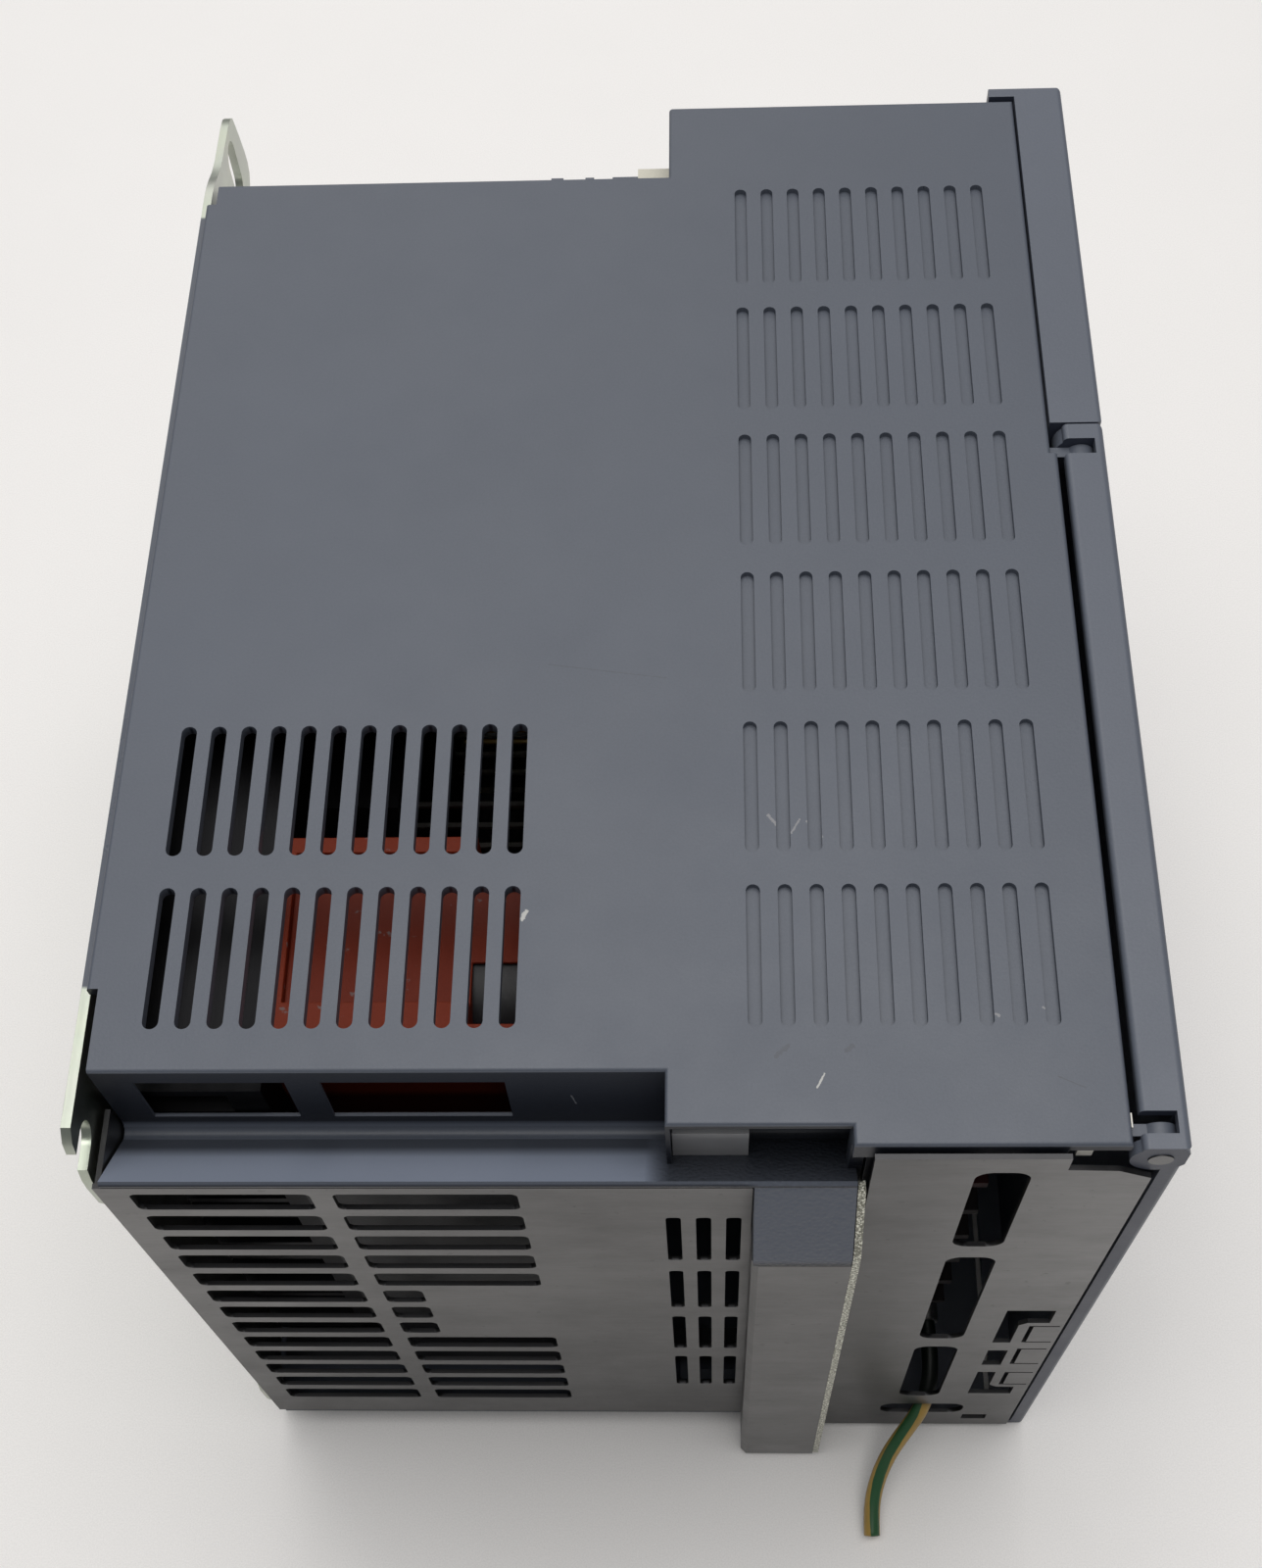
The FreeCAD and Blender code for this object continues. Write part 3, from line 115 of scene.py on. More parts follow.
def set_light():
    """Soft light from overhead, a little from beyond the top end, and a dim room all round."""
    world = bpy.data.worlds.new("world")
    scene.world = world
    world.use_nodes = True
    back = world.node_tree.nodes["Background"]
    back.inputs["Color"].default_value = (0.95, 0.97, 1.0, 1)
    back.inputs["Strength"].default_value = 0.22
    middle = (0, 0, 0.1)
    add_area("window", (-0.5, 1.7, 1.3), middle, (1.8, 1.2), 9, (1, 0.99, 0.97))
    add_area("ceiling", (0.05, 0.1, 1.9), middle, (1.7, 1.8), 32.5, (1, 0.985, 0.97))
    scene.view_settings.view_transform = "Standard"
    scene.view_settings.look = "None"
    scene.view_settings.exposure = 0
    scene.view_settings.gamma = 1


def new_object(name, mesh, body=None):
    """A scene object for a mesh. With a body it is a piece of the drive."""
    piece = bpy.data.objects.new(name, mesh)
    scene.collection.objects.link(piece)
    if body:
        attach(piece, body)
    return piece


def add_floor():
    """Plain pale table top."""
    mesh = bpy.data.meshes.new("floor")
    grid = bmesh.new()
    bmesh.ops.create_grid(grid, x_segments=4, y_segments=4, size=3.0)
    grid.to_mesh(mesh)
    grid.free()
    floor = new_object("floor", mesh)
    floor.location.z = -0.0004
    floor.data.materials.append(plastic("table_top", (0.79, 0.775, 0.76), 0.55, 0.00001, 0.008).material)


# ---------------------------------------------------------------- materials

class Paint:
    """A node material, with short ways to add nodes and link them."""

    def __init__(self, name):
        self.material = bpy.data.materials.new(name)
        self.material.use_nodes = True
        self.tree = self.material.node_tree
        self.shader = self.tree.nodes["Principled BSDF"]
        self.place = self.node("ShaderNodeTexCoord").outputs["Object"]
        self.bumps = None

    def node(self, kind, **settings):
        made = self.tree.nodes.new(kind)
        for key, value in settings.items():
            setattr(made, key, value)
        return made

    def feed(self, socket, value):
        """Link an output to a socket, or set the socket to a number."""
        if isinstance(value, bpy.types.NodeSocket):
            self.tree.links.new(value, socket)
        else:
            socket.default_value = value

    def math(self, operation, a, b=0.0, clamp=False):
        made = self.node("ShaderNodeMath", operation=operation, use_clamp=clamp)
        self.feed(made.inputs[0], a)
        self.feed(made.inputs[1], b)
        return made.outputs[0]

    def stretch(self, scale):
        """Object coordinates stretched by a scale for each axis."""
        made = self.node("ShaderNodeMapping")
        self.feed(made.inputs["Vector"], self.place)
        made.inputs["Scale"].default_value = scale
        return made.outputs[0]

    def noise(self, scale, detail=3, roughness=0.55, at=None):
        made = self.node("ShaderNodeTexNoise")
        self.feed(made.inputs["Vector"], at or self.place)
        made.inputs["Scale"].default_value = scale
        made.inputs["Detail"].default_value = detail
        made.inputs["Roughness"].default_value = roughness
        return made.outputs["Fac"]

    def spread(self, value, low, high, to_low=0.0, to_high=1.0):
        """Map low..high onto another range, clamped."""
        made = self.node("ShaderNodeMapRange")
        self.feed(made.inputs["Value"], value)
        for socket, number in zip(("From Min", "From Max", "To Min", "To Max"),
                                  (low, high, to_low, to_high)):
            self.feed(made.inputs[socket], number)
        return made.outputs["Result"]

    def mix(self, amount, a, b, blend="MIX"):
        made = self.node("ShaderNodeMix", data_type="RGBA", blend_type=blend)
        self.feed(made.inputs["Factor"], amount)
        for socket, color in ((made.inputs[6], a), (made.inputs[7], b)):
            self.feed(socket, color if isinstance(color, bpy.types.NodeSocket) else (*color, 1))
        return made.outputs[2]

    def bump(self, height, depth):
        """Add a layer of relief, its depth in metres."""
        made = self.node("ShaderNodeBump")
        made.inputs["Distance"].default_value = depth
        self.feed(made.inputs["Height"], height)
        if self.bumps:
            self.feed(made.inputs["Normal"], self.bumps)
        self.bumps = made.outputs[0]
        self.feed(self.shader.inputs["Normal"], self.bumps)

    def axis(self, name):
        """One object coordinate in millimetres."""
        made = self.node("ShaderNodeSeparateXYZ")
        self.feed(made.inputs[0], self.place)
        return self.math("MULTIPLY", made.outputs[name.upper()], 1000.0)

    def all_of(self, *masks):
        """1 where every mask is 1."""
        made = masks[0]
        for mask in masks[1:]:
            made = self.math("MULTIPLY", made, mask)
        return made

    def facing(self, direction):
        """How far the surface faces a direction: 1 straight at it, 0 across it."""
        normal = self.node("ShaderNodeTexCoord").outputs["Normal"]
        return self.vector("DOT_PRODUCT", normal, direction, "Value")

    def vector(self, operation, a, b=None, output="Vector"):
        made = self.node("ShaderNodeVectorMath", operation=operation)
        self.feed(made.inputs[0], a)
        if b is not None:
            self.feed(made.inputs[1], b)
        return made.outputs[output]

    def mark(self, start, end, width):
        """1 along the line between two points in millimetres, fading out at a distance."""
        start, end = Vector(start) * MM, Vector(end) * MM
        run = end - start
        offset = self.vector("SUBTRACT", self.place, tuple(start))
        along = self.vector("DOT_PRODUCT", offset, tuple(run / max(run.length_squared, 1e-12)), "Value")
        scaled = self.node("ShaderNodeVectorMath", operation="SCALE")
        scaled.inputs[0].default_value = tuple(run)
        self.feed(scaled.inputs["Scale"], self.math("ADD", along, 0.0, clamp=True))
        gap = self.vector("LENGTH", self.vector("SUBTRACT", offset, scaled.outputs[0]), None, "Value")
        ragged = self.spread(self.noise(1800, 3, 0.7), 0.3, 0.7, 0.4 * width, 1.3 * width)
        near = self.math("SUBTRACT", ragged, self.math("MULTIPLY", gap, 1000.0))
        return self.spread(near, 0.0, 0.25 * width)

    def within(self, value, low, high, soft=0.3):
        """1 where a value is between two limits, with soft edges."""
        up = self.spread(value, low - soft, low + soft)
        down = self.spread(value, high - soft, high + soft, 1.0, 0.0)
        return self.math("MULTIPLY", up, down)


def scaled(color, *gains):
    """A colour times one gain, or times a gain for each of its channels."""
    if len(gains) == 1:
        gains = gains * 3
    return [channel * gain for channel, gain in zip(color, gains)]


def plastic(name, color, rough=0.5, grain=0.00003, variation=0.06, end_shade=0.0):
    """Moulded plastic with fine spark-eroded grain, faint blotches and uneven sheen.

    With end_shade, it also has the housing's painted shade and painted highlights.
    """
    paint = Paint(name)
    blotch = paint.spread(paint.noise(9, 5, 0.65), 0.35, 0.65)
    tone = paint.mix(blotch, scaled(color, 1 - variation), scaled(color, 1 + variation))
    speck = paint.spread(paint.noise(2600, 2, 0.7), 0.3, 0.7, 0.0, 0.16)
    tone = paint.mix(speck, tone, scaled(color, 1.7))
    if end_shade:
        # painted shade and painted highlights of the housing
        tone = painted_housing_light(paint, tone, color, end_shade)
    paint.tone = tone
    smear = paint.spread(paint.noise(38, 6, 0.7), 0.3, 0.7, rough - 0.05, rough + 0.06)
    paint.feed(paint.shader.inputs["Base Color"], tone)
    paint.feed(paint.shader.inputs["Roughness"], smear)
    paint.bump(paint.noise(1500, 3, 0.6), grain)
    return paint


def painted_housing_light(paint, tone, color, end_shade):
    """Painted shade on faces that look towards the bottom end, on the ledge and the lip, and over part
    of the gutter slope, a painted shadow behind the grille, and painted highlights on the gutter slope
    and on the hump's slanted face.
    """
    x, y, z = (paint.axis(name) for name in "xyz")
    # painted shade: faces that look towards the bottom end, and the lip below, are darkened to this
    # colour
    deep = scaled(color, 0.85 * (1 - end_shade), 0.9 * (1 - end_shade), 1.1 * (1 - end_shade))
    tone = paint.mix(paint.spread(paint.facing((0, -1, 0)), 0.955, 0.995), tone, deep)
    in_recess = paint.spread(y, RECESS_WALL_Y + 2.2, RECESS_WALL_Y + 0.2)
    slope = paint.facing(GUTTER_SLOPE)
    # painted highlight on the gutter slope near the recess wall, towards the left of x 6 mm
    gutter = paint.all_of(paint.spread(slope, 0.95, 0.99), paint.spread(x, 6, 2), in_recess)
    tone = paint.mix(gutter, tone, scaled(color, 2.8))
    # painted shadow of the recess wall over the part of the slope next to it
    gutter_shadow = paint.all_of(gutter, paint.spread(y, RECESS_WALL_Y - 7, RECESS_WALL_Y - 4.6, 0.0, 0.85))
    tone = paint.mix(gutter_shadow, tone, scaled(color, 0.3))
    # painted shade on the ledge further right, from x 2 mm on
    ledge = paint.all_of(paint.spread(x, 2, 6), paint.spread(slope, 0.4, 0.6),
                         paint.within(z, 140, 172), in_recess)
    tone = paint.mix(paint.math("MULTIPLY", ledge, 0.7), tone, scaled(color, 0.35))
    # painted shade on the front face of the ledge's lip
    lip = paint.all_of(paint.within(z, 160, LEDGE_EDGE_Z, 0.15),
                       paint.spread(y, LEDGE_LIP_Y + 0.2, LEDGE_LIP_Y - 0.2), paint.spread(x, 20, 18))
    tone = paint.mix(lip, tone, deep)
    # painted highlight on the hump's slanted face
    hump_highlight = paint.spread(paint.facing(HUMP_SLANT), 0.97, 0.99, 0.0, 0.5)
    tone = paint.mix(hump_highlight, tone, scaled(color, 1.7))
    # painted shadow inside, behind the grille
    grille_shadow = paint.all_of(
        paint.spread(y, -106.5, -104.5), paint.spread(z, GRILLE_INSIDE_Z + 1, GRILLE_INSIDE_Z - 1),
        paint.spread(y, -95, -97), paint.within(x, -83, 36))
    return paint.mix(grille_shadow, tone, SHADOW)


def sheet_metal(name, color, rough, along="x", tint=None, grain=0.000012):
    """Rolled sheet with a directional grain, cloudy stains and an uneven sheen."""
    paint = Paint(name)
    shader = paint.shader.inputs
    shader["Metallic"].default_value = 1.0
    scale = {"x": (60, 1400, 1400), "y": (1400, 60, 1400), "z": (1400, 1400, 60)}[along]
    streak = paint.noise(1.0, 4, 0.6, paint.stretch(scale))
    cloud = paint.noise(26, 6, 0.7)
    tone = paint.mix(paint.spread(cloud, 0.35, 0.7), scaled(color, 0.82), color)
    tone = paint.mix(paint.spread(streak, 0.3, 0.7, 0.0, 0.16), tone, scaled(color, 1.4))
    if tint:
        hue = paint.noise(45, 3, 0.5)
        tone = paint.mix(paint.spread(hue, 0.40, 0.62, 0.0, 0.55), tone, tint)
    paint.tone = tone
    paint.feed(shader["Base Color"], tone)
    paint.feed(shader["Roughness"], paint.spread(cloud, 0.3, 0.7, rough - 0.07, rough + 0.09))
    paint.bump(streak, grain)
    return paint


def casing_finish():
    """The left casing's grey plastic, with the scratches and chips of long use."""
    paint = plastic("casing_left", CASING_GREY, 0.47, end_shade=0.8)
    pale, grey, dark = (0.42, 0.42, 0.40), (0.20, 0.20, 0.21), (0.035, 0.036, 0.04)
    side_wear = [
        ((28.6, -103.1), (29.8, -100.8), 0.20, pale), ((22.1, -55.4), (23.5, -57.2), 0.35, grey),
        ((25.8, -58.7), (27.2, -56.2), 0.22, grey), ((28.4, -56.6), (30.6, -59.5), 0.32, grey),
        ((-16.8, -72.7), (-17.3, -74.1), 0.45, pale), ((56.4, -91.0), (56.9, -91.2), 0.30, grey),
        ((63.7, -89.9), (64.2, -90.1), 0.25, grey), ((65.0, -101.3), (69.0, -103.2), 0.14, dark),
        ((-14.7, -25.4), (5.4, -28.4), 0.12, dark), ((22.5, -97.8), (24.4, -96.2), 0.5, dark),
        ((33.2, -97.0), (34.2, -96.2), 0.5, dark),
    ]
    wear = [((*start, SIDE_Z), (*end, SIDE_Z), width, color) for start, end, width, color in side_wear]
    wear.append(((-9.5, RECESS_WALL_Y, 169.9), (-8.9, RECESS_WALL_Y, 166.5), 0.16, grey))
    tone = paint.tone
    for start, end, width, color in wear:
        strength = 0.35 if color is dark else 0.9
        tone = paint.mix(paint.math("MULTIPLY", paint.mark(start, end, width), strength), tone, color)
    scuff = paint.noise(1.0, 5, 0.8, paint.stretch((900, 260, 900)))
    rubbed = paint.spread(scuff, 0.66, 0.8, 0.0, 0.10)
    paint.feed(paint.shader.inputs["Base Color"], paint.mix(rubbed, tone, (0.3, 0.31, 0.33)))
    leather = paint.node("ShaderNodeTexVoronoi", feature="SMOOTH_F1")
    leather.inputs["Scale"].default_value = 1300
    paint.feed(leather.inputs["Vector"], paint.place)
    patch = paint.all_of(paint.within(paint.axis("z"), 143, 167.5, 0.5),
                         paint.within(paint.axis("y"), -122, -103, 0.5),
                         paint.within(paint.axis("x"), 4, 36, 3.0))
    paint.bump(paint.math("MULTIPLY", leather.outputs["Distance"], patch), 0.00022)
    return paint


def plate_finish(name, color, door_side_light_gain):
    """Dull cold-rolled sheet with long smears and dark specks.

    It has painted shade towards the table, except on the duct's face, and on edges that face up. With a
    gain above 1 for the door side, it is brighter towards the door: a painted highlight.
    """
    paint = sheet_metal(name, color, 0.40)
    smear = paint.noise(1.0, 6, 0.75, paint.stretch((32, 32, 90)))
    tone = paint.mix(paint.spread(smear, 0.42, 0.66, 0.0, 0.55), paint.tone, scaled(color, 0.55))
    fleck = paint.spread(paint.noise(520, 2, 0.5), 0.70, 0.76, 0.0, 0.5)
    tone = paint.mix(fleck, tone, scaled(color, 0.35))
    # painted highlight: brighter towards the door when the gain is above 1
    side = paint.spread(paint.axis("x"), 45, 82, 1.0, door_side_light_gain)
    # painted shade: darker towards the table, but not on the duct's face
    height = paint.spread(paint.axis("z"), 20, 110, 0.48, 1.0)
    duct = paint.spread(paint.axis("y"), GRILLE_FACE_Y - 0.5, GRILLE_FACE_Y - 2, 0.0, 0.92)
    gain = paint.node("ShaderNodeVectorMath", operation="SCALE")
    paint.feed(gain.inputs[0], tone)
    paint.feed(gain.inputs["Scale"], paint.math("MULTIPLY", side, paint.math("MAXIMUM", height, duct)))
    # painted shade on edges that face up, so they do not catch the light
    edge = paint.spread(paint.facing((0, 0, 1)), 0.8, 0.95)
    tone = paint.mix(edge, gain.outputs[0], (0.045, 0.045, 0.047))
    paint.feed(paint.shader.inputs["Base Color"], tone)
    return paint


def bracket_finish():
    """Matt plated strip behind the window in the bottom recess."""
    paint = sheet_metal("bracket_steel", (0.55, 0.55, 0.56), 0.5)
    paint.shader.inputs["Metallic"].default_value = 0.3
    return paint


def zinc_finish():
    """Passivated zinc plating, pale with faint coloured films, and grey along the casing's side."""
    paint = sheet_metal("zinc_sheet", (0.46, 0.48, 0.43), 0.32, "y", (0.45, 0.51, 0.40))
    film = paint.noise(75, 3, 0.55)
    tone = paint.mix(paint.spread(film, 0.52, 0.68, 0.0, 0.28), paint.tone, (0.56, 0.50, 0.50))
    tone = paint.mix(paint.spread(film, 0.46, 0.36, 0.0, 0.20), tone, (0.52, 0.53, 0.40))
    rim = paint.all_of(paint.spread(paint.axis("z"), SIDE_Z - 4, SIDE_Z - 3),
                       paint.within(paint.axis("y"), -84.5, 84))
    paint.feed(paint.shader.inputs["Base Color"], paint.mix(rim, tone, CASING_GREY))
    paint.feed(paint.shader.inputs["Metallic"], paint.math("SUBTRACT", 1.0, rim))
    return paint


def holder_finish():
    """Deep orange plastic with painted shade down its end face, low down and on the floor of its tray,
    and bits of grey lint on top.
    """
    paint = plastic("orange_plastic", (0.27, 0.038, 0.014), 0.5)
    paint.shader.inputs["Specular IOR Level"].default_value = 0.2
    y, z = paint.axis("y"), paint.axis("z")
    # painted shade: the end face, below the tray, is darkened nearly to black
    face = paint.all_of(paint.spread(y, HOLDER_FACE_Y + 1, HOLDER_FACE_Y + 0.4),
                        paint.spread(z, HOLDER_TOP_Z - 16.5, HOLDER_TOP_Z - 19))
    # painted shade: towards black below z 120 mm
    low = paint.spread(z, 120, 90)
    tone = paint.mix(paint.math("MAXIMUM", face, low), paint.tone, (0.006, 0.004, 0.004))
    # painted shade on the tray's floor, part of the way to dark red
    tray_floor_shade = paint.spread(z, HOLDER_TOP_Z - 0.5, HOLDER_TOP_Z - 1.5)
    tone = paint.mix(paint.math("MULTIPLY", tray_floor_shade, 0.35), tone, (0.12, 0.014, 0.008))
    lint = paint.spread(paint.noise(330, 3, 0.6), 0.66, 0.70, 0.0, 0.7)
    upward = paint.spread(z, 150, 160)
    tone = paint.mix(paint.math("MULTIPLY", lint, upward), tone, LINT_GREY)
    paint.feed(paint.shader.inputs["Base Color"], tone)
    return paint


def terminal_finish():
    """Dark red moulding with painted shade that fades it to black in the depth of the wiring
    compartment.
    """
    paint = plastic("terminal_plastic", (0.12, 0.010, 0.010), 0.5)
    paint.shader.inputs["Specular IOR Level"].default_value = 0.25
    # painted shade: fades to black below z 135 mm
    deep = paint.spread(paint.axis("z"), 135, 115)
    paint.feed(paint.shader.inputs["Base Color"], paint.mix(deep, paint.tone, (0.010, 0.006, 0.007)))
    return paint


def raw_edge_finish():
    """Zinc-plated sheet whose sheared edge has painted glints in points, over a matching relief."""
    paint = sheet_metal("raw_edge", (0.40, 0.41, 0.37), 0.38, "z", (0.42, 0.45, 0.30))
    sparkle = paint.noise(2100, 2, 0.8)
    # painted glints: bright and dark points on the sheared edge outside
    tone = paint.mix(paint.spread(sparkle, 0.48, 0.60), (0.22, 0.22, 0.18), (0.86, 0.86, 0.76))
    outside = paint.spread(paint.axis("y"), -112.0, -113.0)
    paint.feed(paint.shader.inputs["Base Color"], paint.mix(outside, paint.tone, tone))
    paint.bump(paint.math("MULTIPLY", sparkle, outside), 0.00025)
    return paint


def tinted_window():
    """Smoked, clear plastic over the display."""
    paint = Paint("window")
    paint.shader.inputs["Base Color"].default_value = (0.10, 0.02, 0.02, 1)
    paint.shader.inputs["Alpha"].default_value = 0.55
    paint.bump(paint.noise(40, 2), 0.000004)
    haze = paint.spread(paint.noise(60, 4), 0.3, 0.7, 0.08, 0.16)
    paint.feed(paint.shader.inputs["Roughness"], haze)
    return paint


def slot_finishes():
    """Materials for every slot of the record, by slot name."""
    return {
        "casing_plastic": plastic("casing_plastic", CASING_GREY, 0.47, end_shade=0.8),
        "cover_plastic": plastic("cover_plastic", COVER_GREY, 0.47, end_shade=0.45),
        "sheet_steel": plate_finish("sheet_steel", STEEL_GREY, 1.0),
        "zinc_sheet": zinc_finish(),
        "heat_sink_metal": sheet_metal("heat_sink_metal", (0.03, 0.03, 0.032), 0.5, "y"),
        "orange_plastic": holder_finish(),
        "terminal_plastic": terminal_finish(),
        "black_plastic": plastic("black_plastic", (0.012, 0.012, 0.014), 0.42),
        "board": plastic("board", (0.012, 0.085, 0.04), 0.28, 0.00001),
        "key_plastic": plastic("key_plastic", (0.30, 0.31, 0.33), 0.48),
        "stop_plastic": plastic("stop_plastic", (0.36, 0.03, 0.022), 0.45),
        "run_plastic": plastic("run_plastic", (0.03, 0.20, 0.07), 0.45),
        "display": plastic("display", (0.02, 0.008, 0.008), 0.2, 0.000002),
        "plated_steel": sheet_metal("plated_steel", (0.66, 0.66, 0.63), 0.3, "x"),
        "tin": sheet_metal("tin", (0.70, 0.69, 0.66), 0.34, "y"),
        "sleeve": plastic("sleeve", (0.01, 0.03, 0.12), 0.4),
        "lamp": plastic("lamp", (0.42, 0.02, 0.012), 0.2, 0.000002),
        "pale_plastic": plastic("pale_plastic", (0.66, 0.64, 0.58), 0.4),
        "brass": sheet_metal("brass", (0.60, 0.43, 0.16), 0.3, "x"),
        "steel_pin": sheet_metal("steel_pin", (0.16, 0.16, 0.16), 0.35, "y"),
        "connector_plastic": plastic("connector_plastic", (0.52, 0.50, 0.42), 0.45),
        "window": tinted_window(),
    }


def piece_finishes():
    """Materials of the pieces that differ from their slot's usual one, by piece name."""
    return {
        "left_casing": casing_finish(),
        "cable_entry_plate": plate_finish("entry_steel", ENTRY_STEEL_GREY, 1.6),
        "partition_plate": raw_edge_finish(),
        "chassis_bracket": bracket_finish(),
    }


def paint_nodes():
    """Give the CAD nodes their finishes. Returns them by node name, and by material slot."""
    by_slot, by_piece = slot_finishes(), piece_finishes()
    by_node = {}
    for entry in frame["record"]["subparts"]:
        name = entry["node"]
        by_node[name] = by_piece.get(name, by_slot.get(entry["material_slot"]))
        nodes[name].data.materials.clear()
        if by_node[name]:
            nodes[name].data.materials.append(by_node[name].material)
    return by_node, by_slot


# ---------------------------------------------------------------- broken edges

def softened(name, body, width, finish):
    """A copy of a CAD piece with its sharp edges broken, in place of the plain one."""
    work = bmesh.new()
    work.from_mesh(nodes[name].data)
    bmesh.ops.remove_doubles(work, verts=work.verts, dist=1e-6)
    bmesh.ops.dissolve_limit(work, angle_limit=math.radians(0.6), verts=work.verts, edges=work.edges)
    for face in work.faces:
        face.smooth = True
    mesh = bpy.data.meshes.new(f"{name}_softened")
    work.to_mesh(mesh)
    work.free()
    piece = new_object(f"{name}_softened", mesh, body)
    edge = piece.modifiers.new("edges", "BEVEL")
    edge.width = width * MM
    edge.segments = 2
    edge.limit_method = "ANGLE"
    edge.angle_limit = math.radians(40)
    weighted = piece.modifiers.new("normals", "WEIGHTED_NORMAL")
    weighted.mode = "FACE_AREA"
    weighted.weight = 100
    piece.data.materials.append(finish.material)
    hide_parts(name)


# ---------------------------------------------------------------- earth wire

WIRE_RADIUS = 1.8 * MM
WIRE_POINTS = [
    (60.2, -95.5, 25.5), (60.8, -102.6, 25.0), (60.7, -109.0, 22.8), (58.8, -114.4, 19.2),
    (55.2, -118.4, 14.8), (51.5, -122.9, 10.4), (49.0, -128.3, 6.4), (48.0, -133.6, 3.5),
    (48.1, -138.6, 1.9)]


def smooth_line(name, points):
    """Points along a NURBS spline through the object's frame, read from a bare curve."""
    curve = bpy.data.curves.new(name, "CURVE")
    curve.dimensions = "3D"
    curve.resolution_u = 12
    spline = curve.splines.new("NURBS")
    spline.points.add(len(points) - 1)
    for point, place in zip(spline.points, points):
        point.co = (*(Vector(place) * MM), 1)
    spline.order_u = 3
    spline.use_endpoint_u = True
    holder = bpy.data.objects.new(name, curve)
    scene.collection.objects.link(holder)
    mesh = bpy.data.meshes.new_from_object(holder)
    line = [vertex.co.copy() for vertex in mesh.vertices]
    bpy.data.objects.remove(holder)
    bpy.data.meshes.remove(mesh)
    return line


def tube(name, line, radius, sides=24):
    """A tube along a line with a UV map: U round it, V along it in metres."""
    work = bmesh.new()
    uv = work.loops.layers.uv.new("UVMap")
    tangents = []
    for step in range(len(line)):
        before, after = line[max(step - 1, 0)], line[min(step + 1, len(line) - 1)]
        tangents.append((after - before).normalized())
    side = tangents[0].orthogonal().normalized()
    rings, reach = [], [0.0]
    for step, (place, along) in enumerate(zip(line, tangents)):
        side = (side - along * side.dot(along)).normalized()
        up = along.cross(side)
        if step:
            reach.append(reach[-1] + (place - line[step - 1]).length)
        ring = []
        for number in range(sides):
            angle = 2 * math.pi * number / sides
            ring.append(work.verts.new(place + (side * math.cos(angle) + up * math.sin(angle)) * radius))
        rings.append(ring)
    for step in range(len(rings) - 1):
        for number in range(sides):
            after = (number + 1) % sides
            face = work.faces.new([rings[step][number], rings[step][after],
                                   rings[step + 1][after], rings[step + 1][number]])
            face.smooth = True
            corners = [(number, step), (number + 1, step), (number + 1, step + 1), (number, step + 1)]
            for loop, (round_it, along) in zip(face.loops, corners):
                loop[uv].uv = (round_it / sides, reach[along])
    for ring in (list(reversed(rings[0])), rings[-1]):
        work.faces.new(ring)
    mesh = bpy.data.meshes.new(name)
    work.to_mesh(mesh)
    work.free()
    return mesh


def wire_paint():
    """Green and yellow PVC: bands that wind slowly round the wire, with painted shade where it is
    inside.
    """
    paint = Paint("wire_insulation")
    uv = paint.node("ShaderNodeTexCoord").outputs["UV"]
    parts = paint.node("ShaderNodeSeparateXYZ")
    paint.feed(parts.inputs[0], uv)
    turn = paint.math("ADD", parts.outputs["X"], paint.math("MULTIPLY", parts.outputs["Y"], 6.0))
    wave = paint.math("SINE", paint.math("MULTIPLY", turn, 4 * math.pi))
    wobble = paint.spread(paint.noise(160, 3), 0.3, 0.7, -0.12, 0.12)
    band = paint.spread(paint.math("ADD", wave, wobble), -0.30, -0.20)
    grime = paint.spread(paint.noise(90, 5, 0.7), 0.45, 0.75, 0.0, 0.35)
    tone = paint.mix(band, (0.014, 0.075, 0.024), (0.34, 0.215, 0.045))
    tone = paint.mix(grime, tone, (0.07, 0.065, 0.04))
    # painted shade where the wire is inside the drive
    tone = paint.mix(paint.spread(paint.axis("y"), -115.0, -112.5), tone, (0.004, 0.008, 0.005))
    paint.feed(paint.shader.inputs["Base Color"], tone)
    paint.feed(paint.shader.inputs["Roughness"], paint.spread(paint.noise(70, 4), 0.3, 0.7, 0.32, 0.5))
    paint.bump(paint.noise(700, 3), 0.00003)
    return paint


def build_wire():
    """The earth wire, from its lug to its cut end on the table."""
    line = smooth_line("wire_route", WIRE_POINTS)
    wire = new_object("earth_wire", tube("earth_wire", line, WIRE_RADIUS), "drive")
    wire.data.materials.append(wire_paint().material)
    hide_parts("ground_wire")


# ---------------------------------------------------------------- key symbols and dial ribs

KEY_SYMBOLS = {
    "up": [[(-2.0, -1.2), (2.0, -1.2), (0.0, 1.8)]],
    "down": [[(-2.0, 1.2), (0.0, -1.8), (2.0, 1.2)]],
    "run": [[(-0.35, -1.9), (0.35, -1.9), (0.35, 1.9), (-0.35, 1.9)]],
    "stop": [[(-1.5, -1.5), (1.5, -1.5), (1.5, 1.5), (-1.5, 1.5)]],
    "mode": [[(-2.0, 0.5), (2.0, 0.5), (2.0, 1.1), (-2.0, 1.1)],
             [(-2.0, -1.1), (2.0, -1.1), (2.0, -0.5), (-2.0, -0.5)]],
    "enter": [[(-0.6, -0.3), (2.1, -0.3), (2.1, 0.3), (-0.6, 0.3)],
              [(-2.2, 0.0), (-0.6, -1.2), (-0.6, 1.2)]],
}


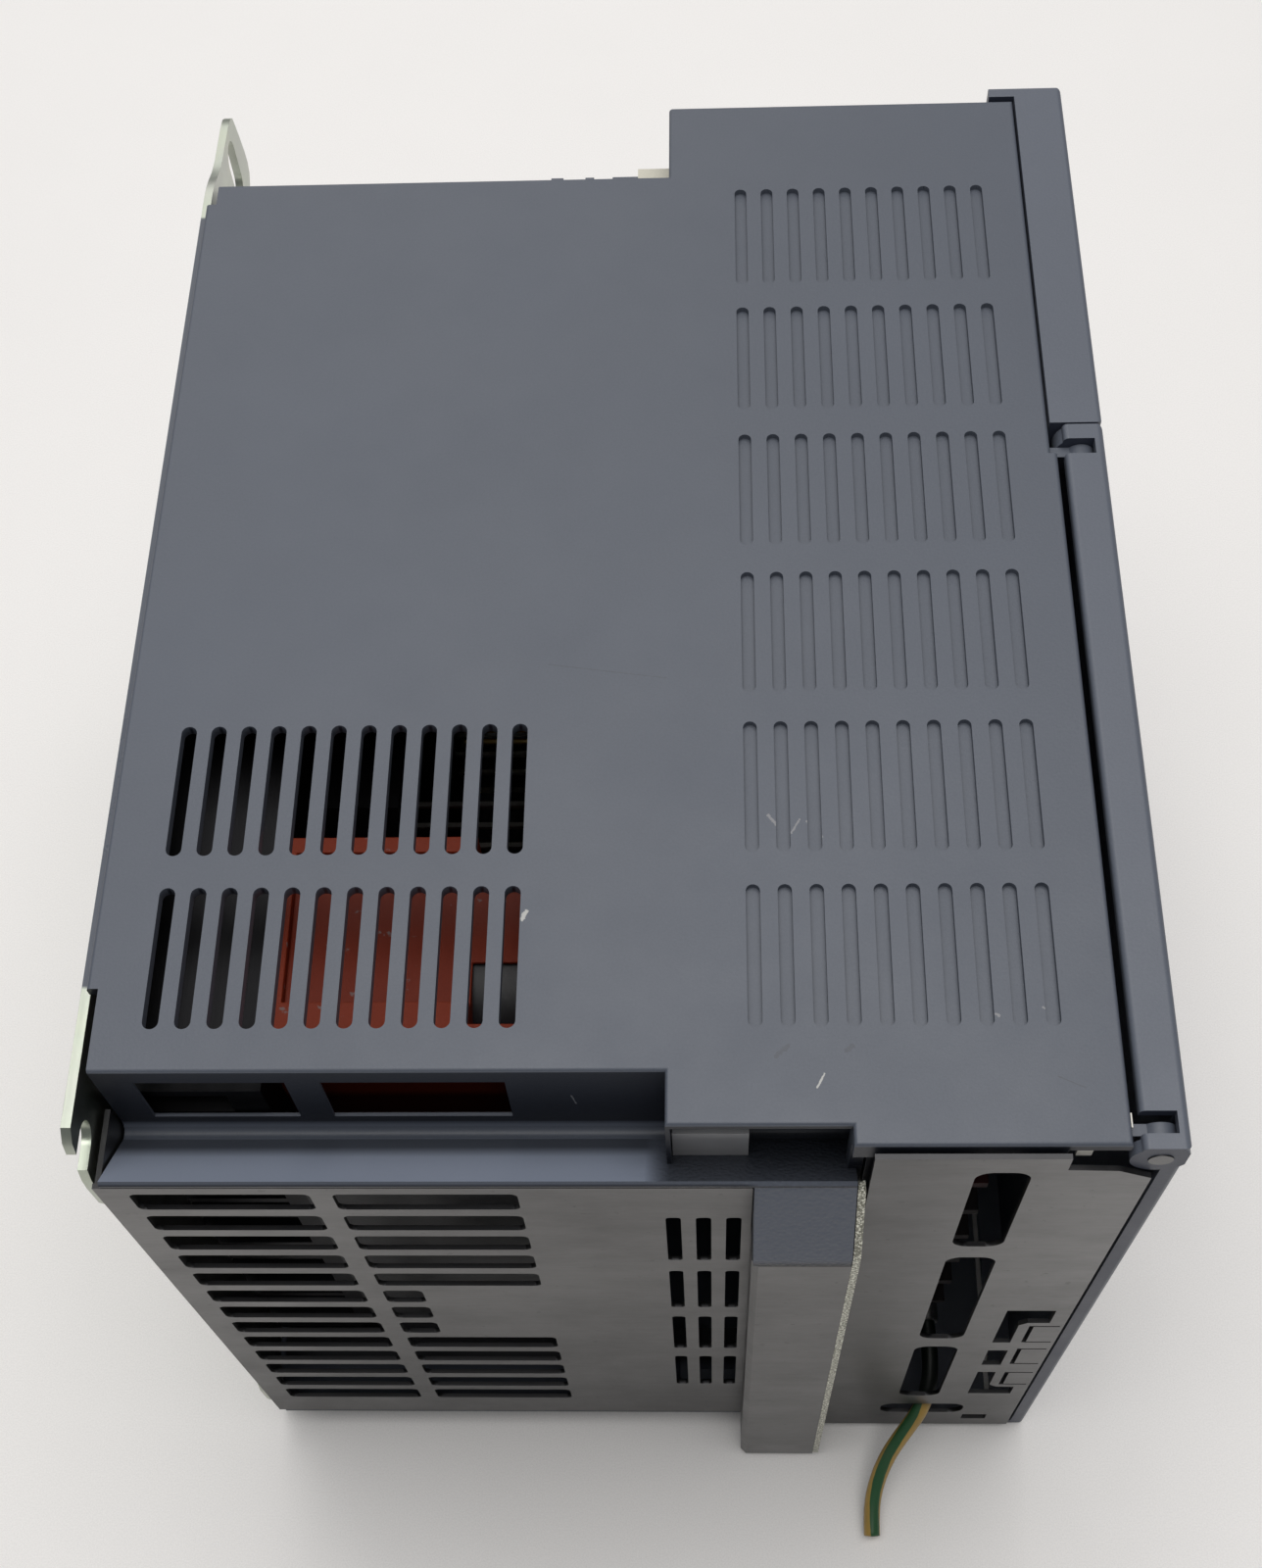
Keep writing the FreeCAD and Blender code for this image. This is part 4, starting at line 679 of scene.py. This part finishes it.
def prism(work, corners, low, high):
    """A flat shape on a face towards the front, its corners as (right, up) in metres."""
    rings = [[work.verts.new((x, up, -right)) for right, up in corners] for x in (low, high)]
    work.faces.new(rings[1])
    work.faces.new(list(reversed(rings[0])))
    for number in range(len(corners)):
        after = (number + 1) % len(corners)
        work.faces.new([rings[0][number], rings[0][after], rings[1][after], rings[1][number]])


def finish_piece(name, work, body, finish):
    """Turn a mesh in the making into a piece of the drive."""
    bmesh.ops.recalc_face_normals(work, faces=work.faces)
    mesh = bpy.data.meshes.new(name)
    work.to_mesh(mesh)
    work.free()
    piece = new_object(name, mesh, body)
    piece.data.materials.append(finish.material)


def build_key_symbols(finish):
    """A raised generic symbol on each key's cap."""
    for key, shapes in KEY_SYMBOLS.items():
        low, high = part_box(f"{key}_key")
        front, middle_y, middle_z = high[0], (low[1] + high[1]) / 2, (low[2] + high[2]) / 2
        work = bmesh.new()
        for shape in shapes:
            corners = [(right * MM - middle_z, middle_y + up * MM) for right, up in shape]
            prism(work, corners, front - 0.05 * MM, front + 0.12 * MM)
        finish_piece(f"{key}_symbol", work, f"{key}_button", finish)


def build_dial_ribs(finish):
    """Fine grip ribs round the rim of the frequency dial."""
    low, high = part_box("frequency_dial")
    middle_y, middle_z = (low[1] + high[1]) / 2, (low[2] + high[2]) / 2
    radius = (high[1] - low[1]) / 2
    count, half, rise = 60, 0.35 * MM, 0.3 * MM
    work = bmesh.new()
    for number in range(count):
        angle = 2 * math.pi * number / count
        out = Vector((math.cos(angle), math.sin(angle)))
        side = Vector((-out.y, out.x)) * half
        foot, tip = out * (radius - 0.1 * MM), out * (radius + rise)
        flat = [foot - side, foot + side, tip + side * 0.4, tip - side * 0.4]
        corners = [(right - middle_z, middle_y + up) for right, up in flat]
        prism(work, corners, high[0] - 2.6 * MM, high[0] - 0.3 * MM)
    finish_piece("dial_ribs", work, "dial", finish)


# ---------------------------------------------------------------- the scene

set_camera()
set_light()
add_floor()
node_finish, slot_finish = paint_nodes()
for name, body, width in BROKEN_EDGES:
    softened(name, body, width, node_finish[name])
build_wire()
build_key_symbols(slot_finish["pale_plastic"])
build_dial_ribs(slot_finish["black_plastic"])
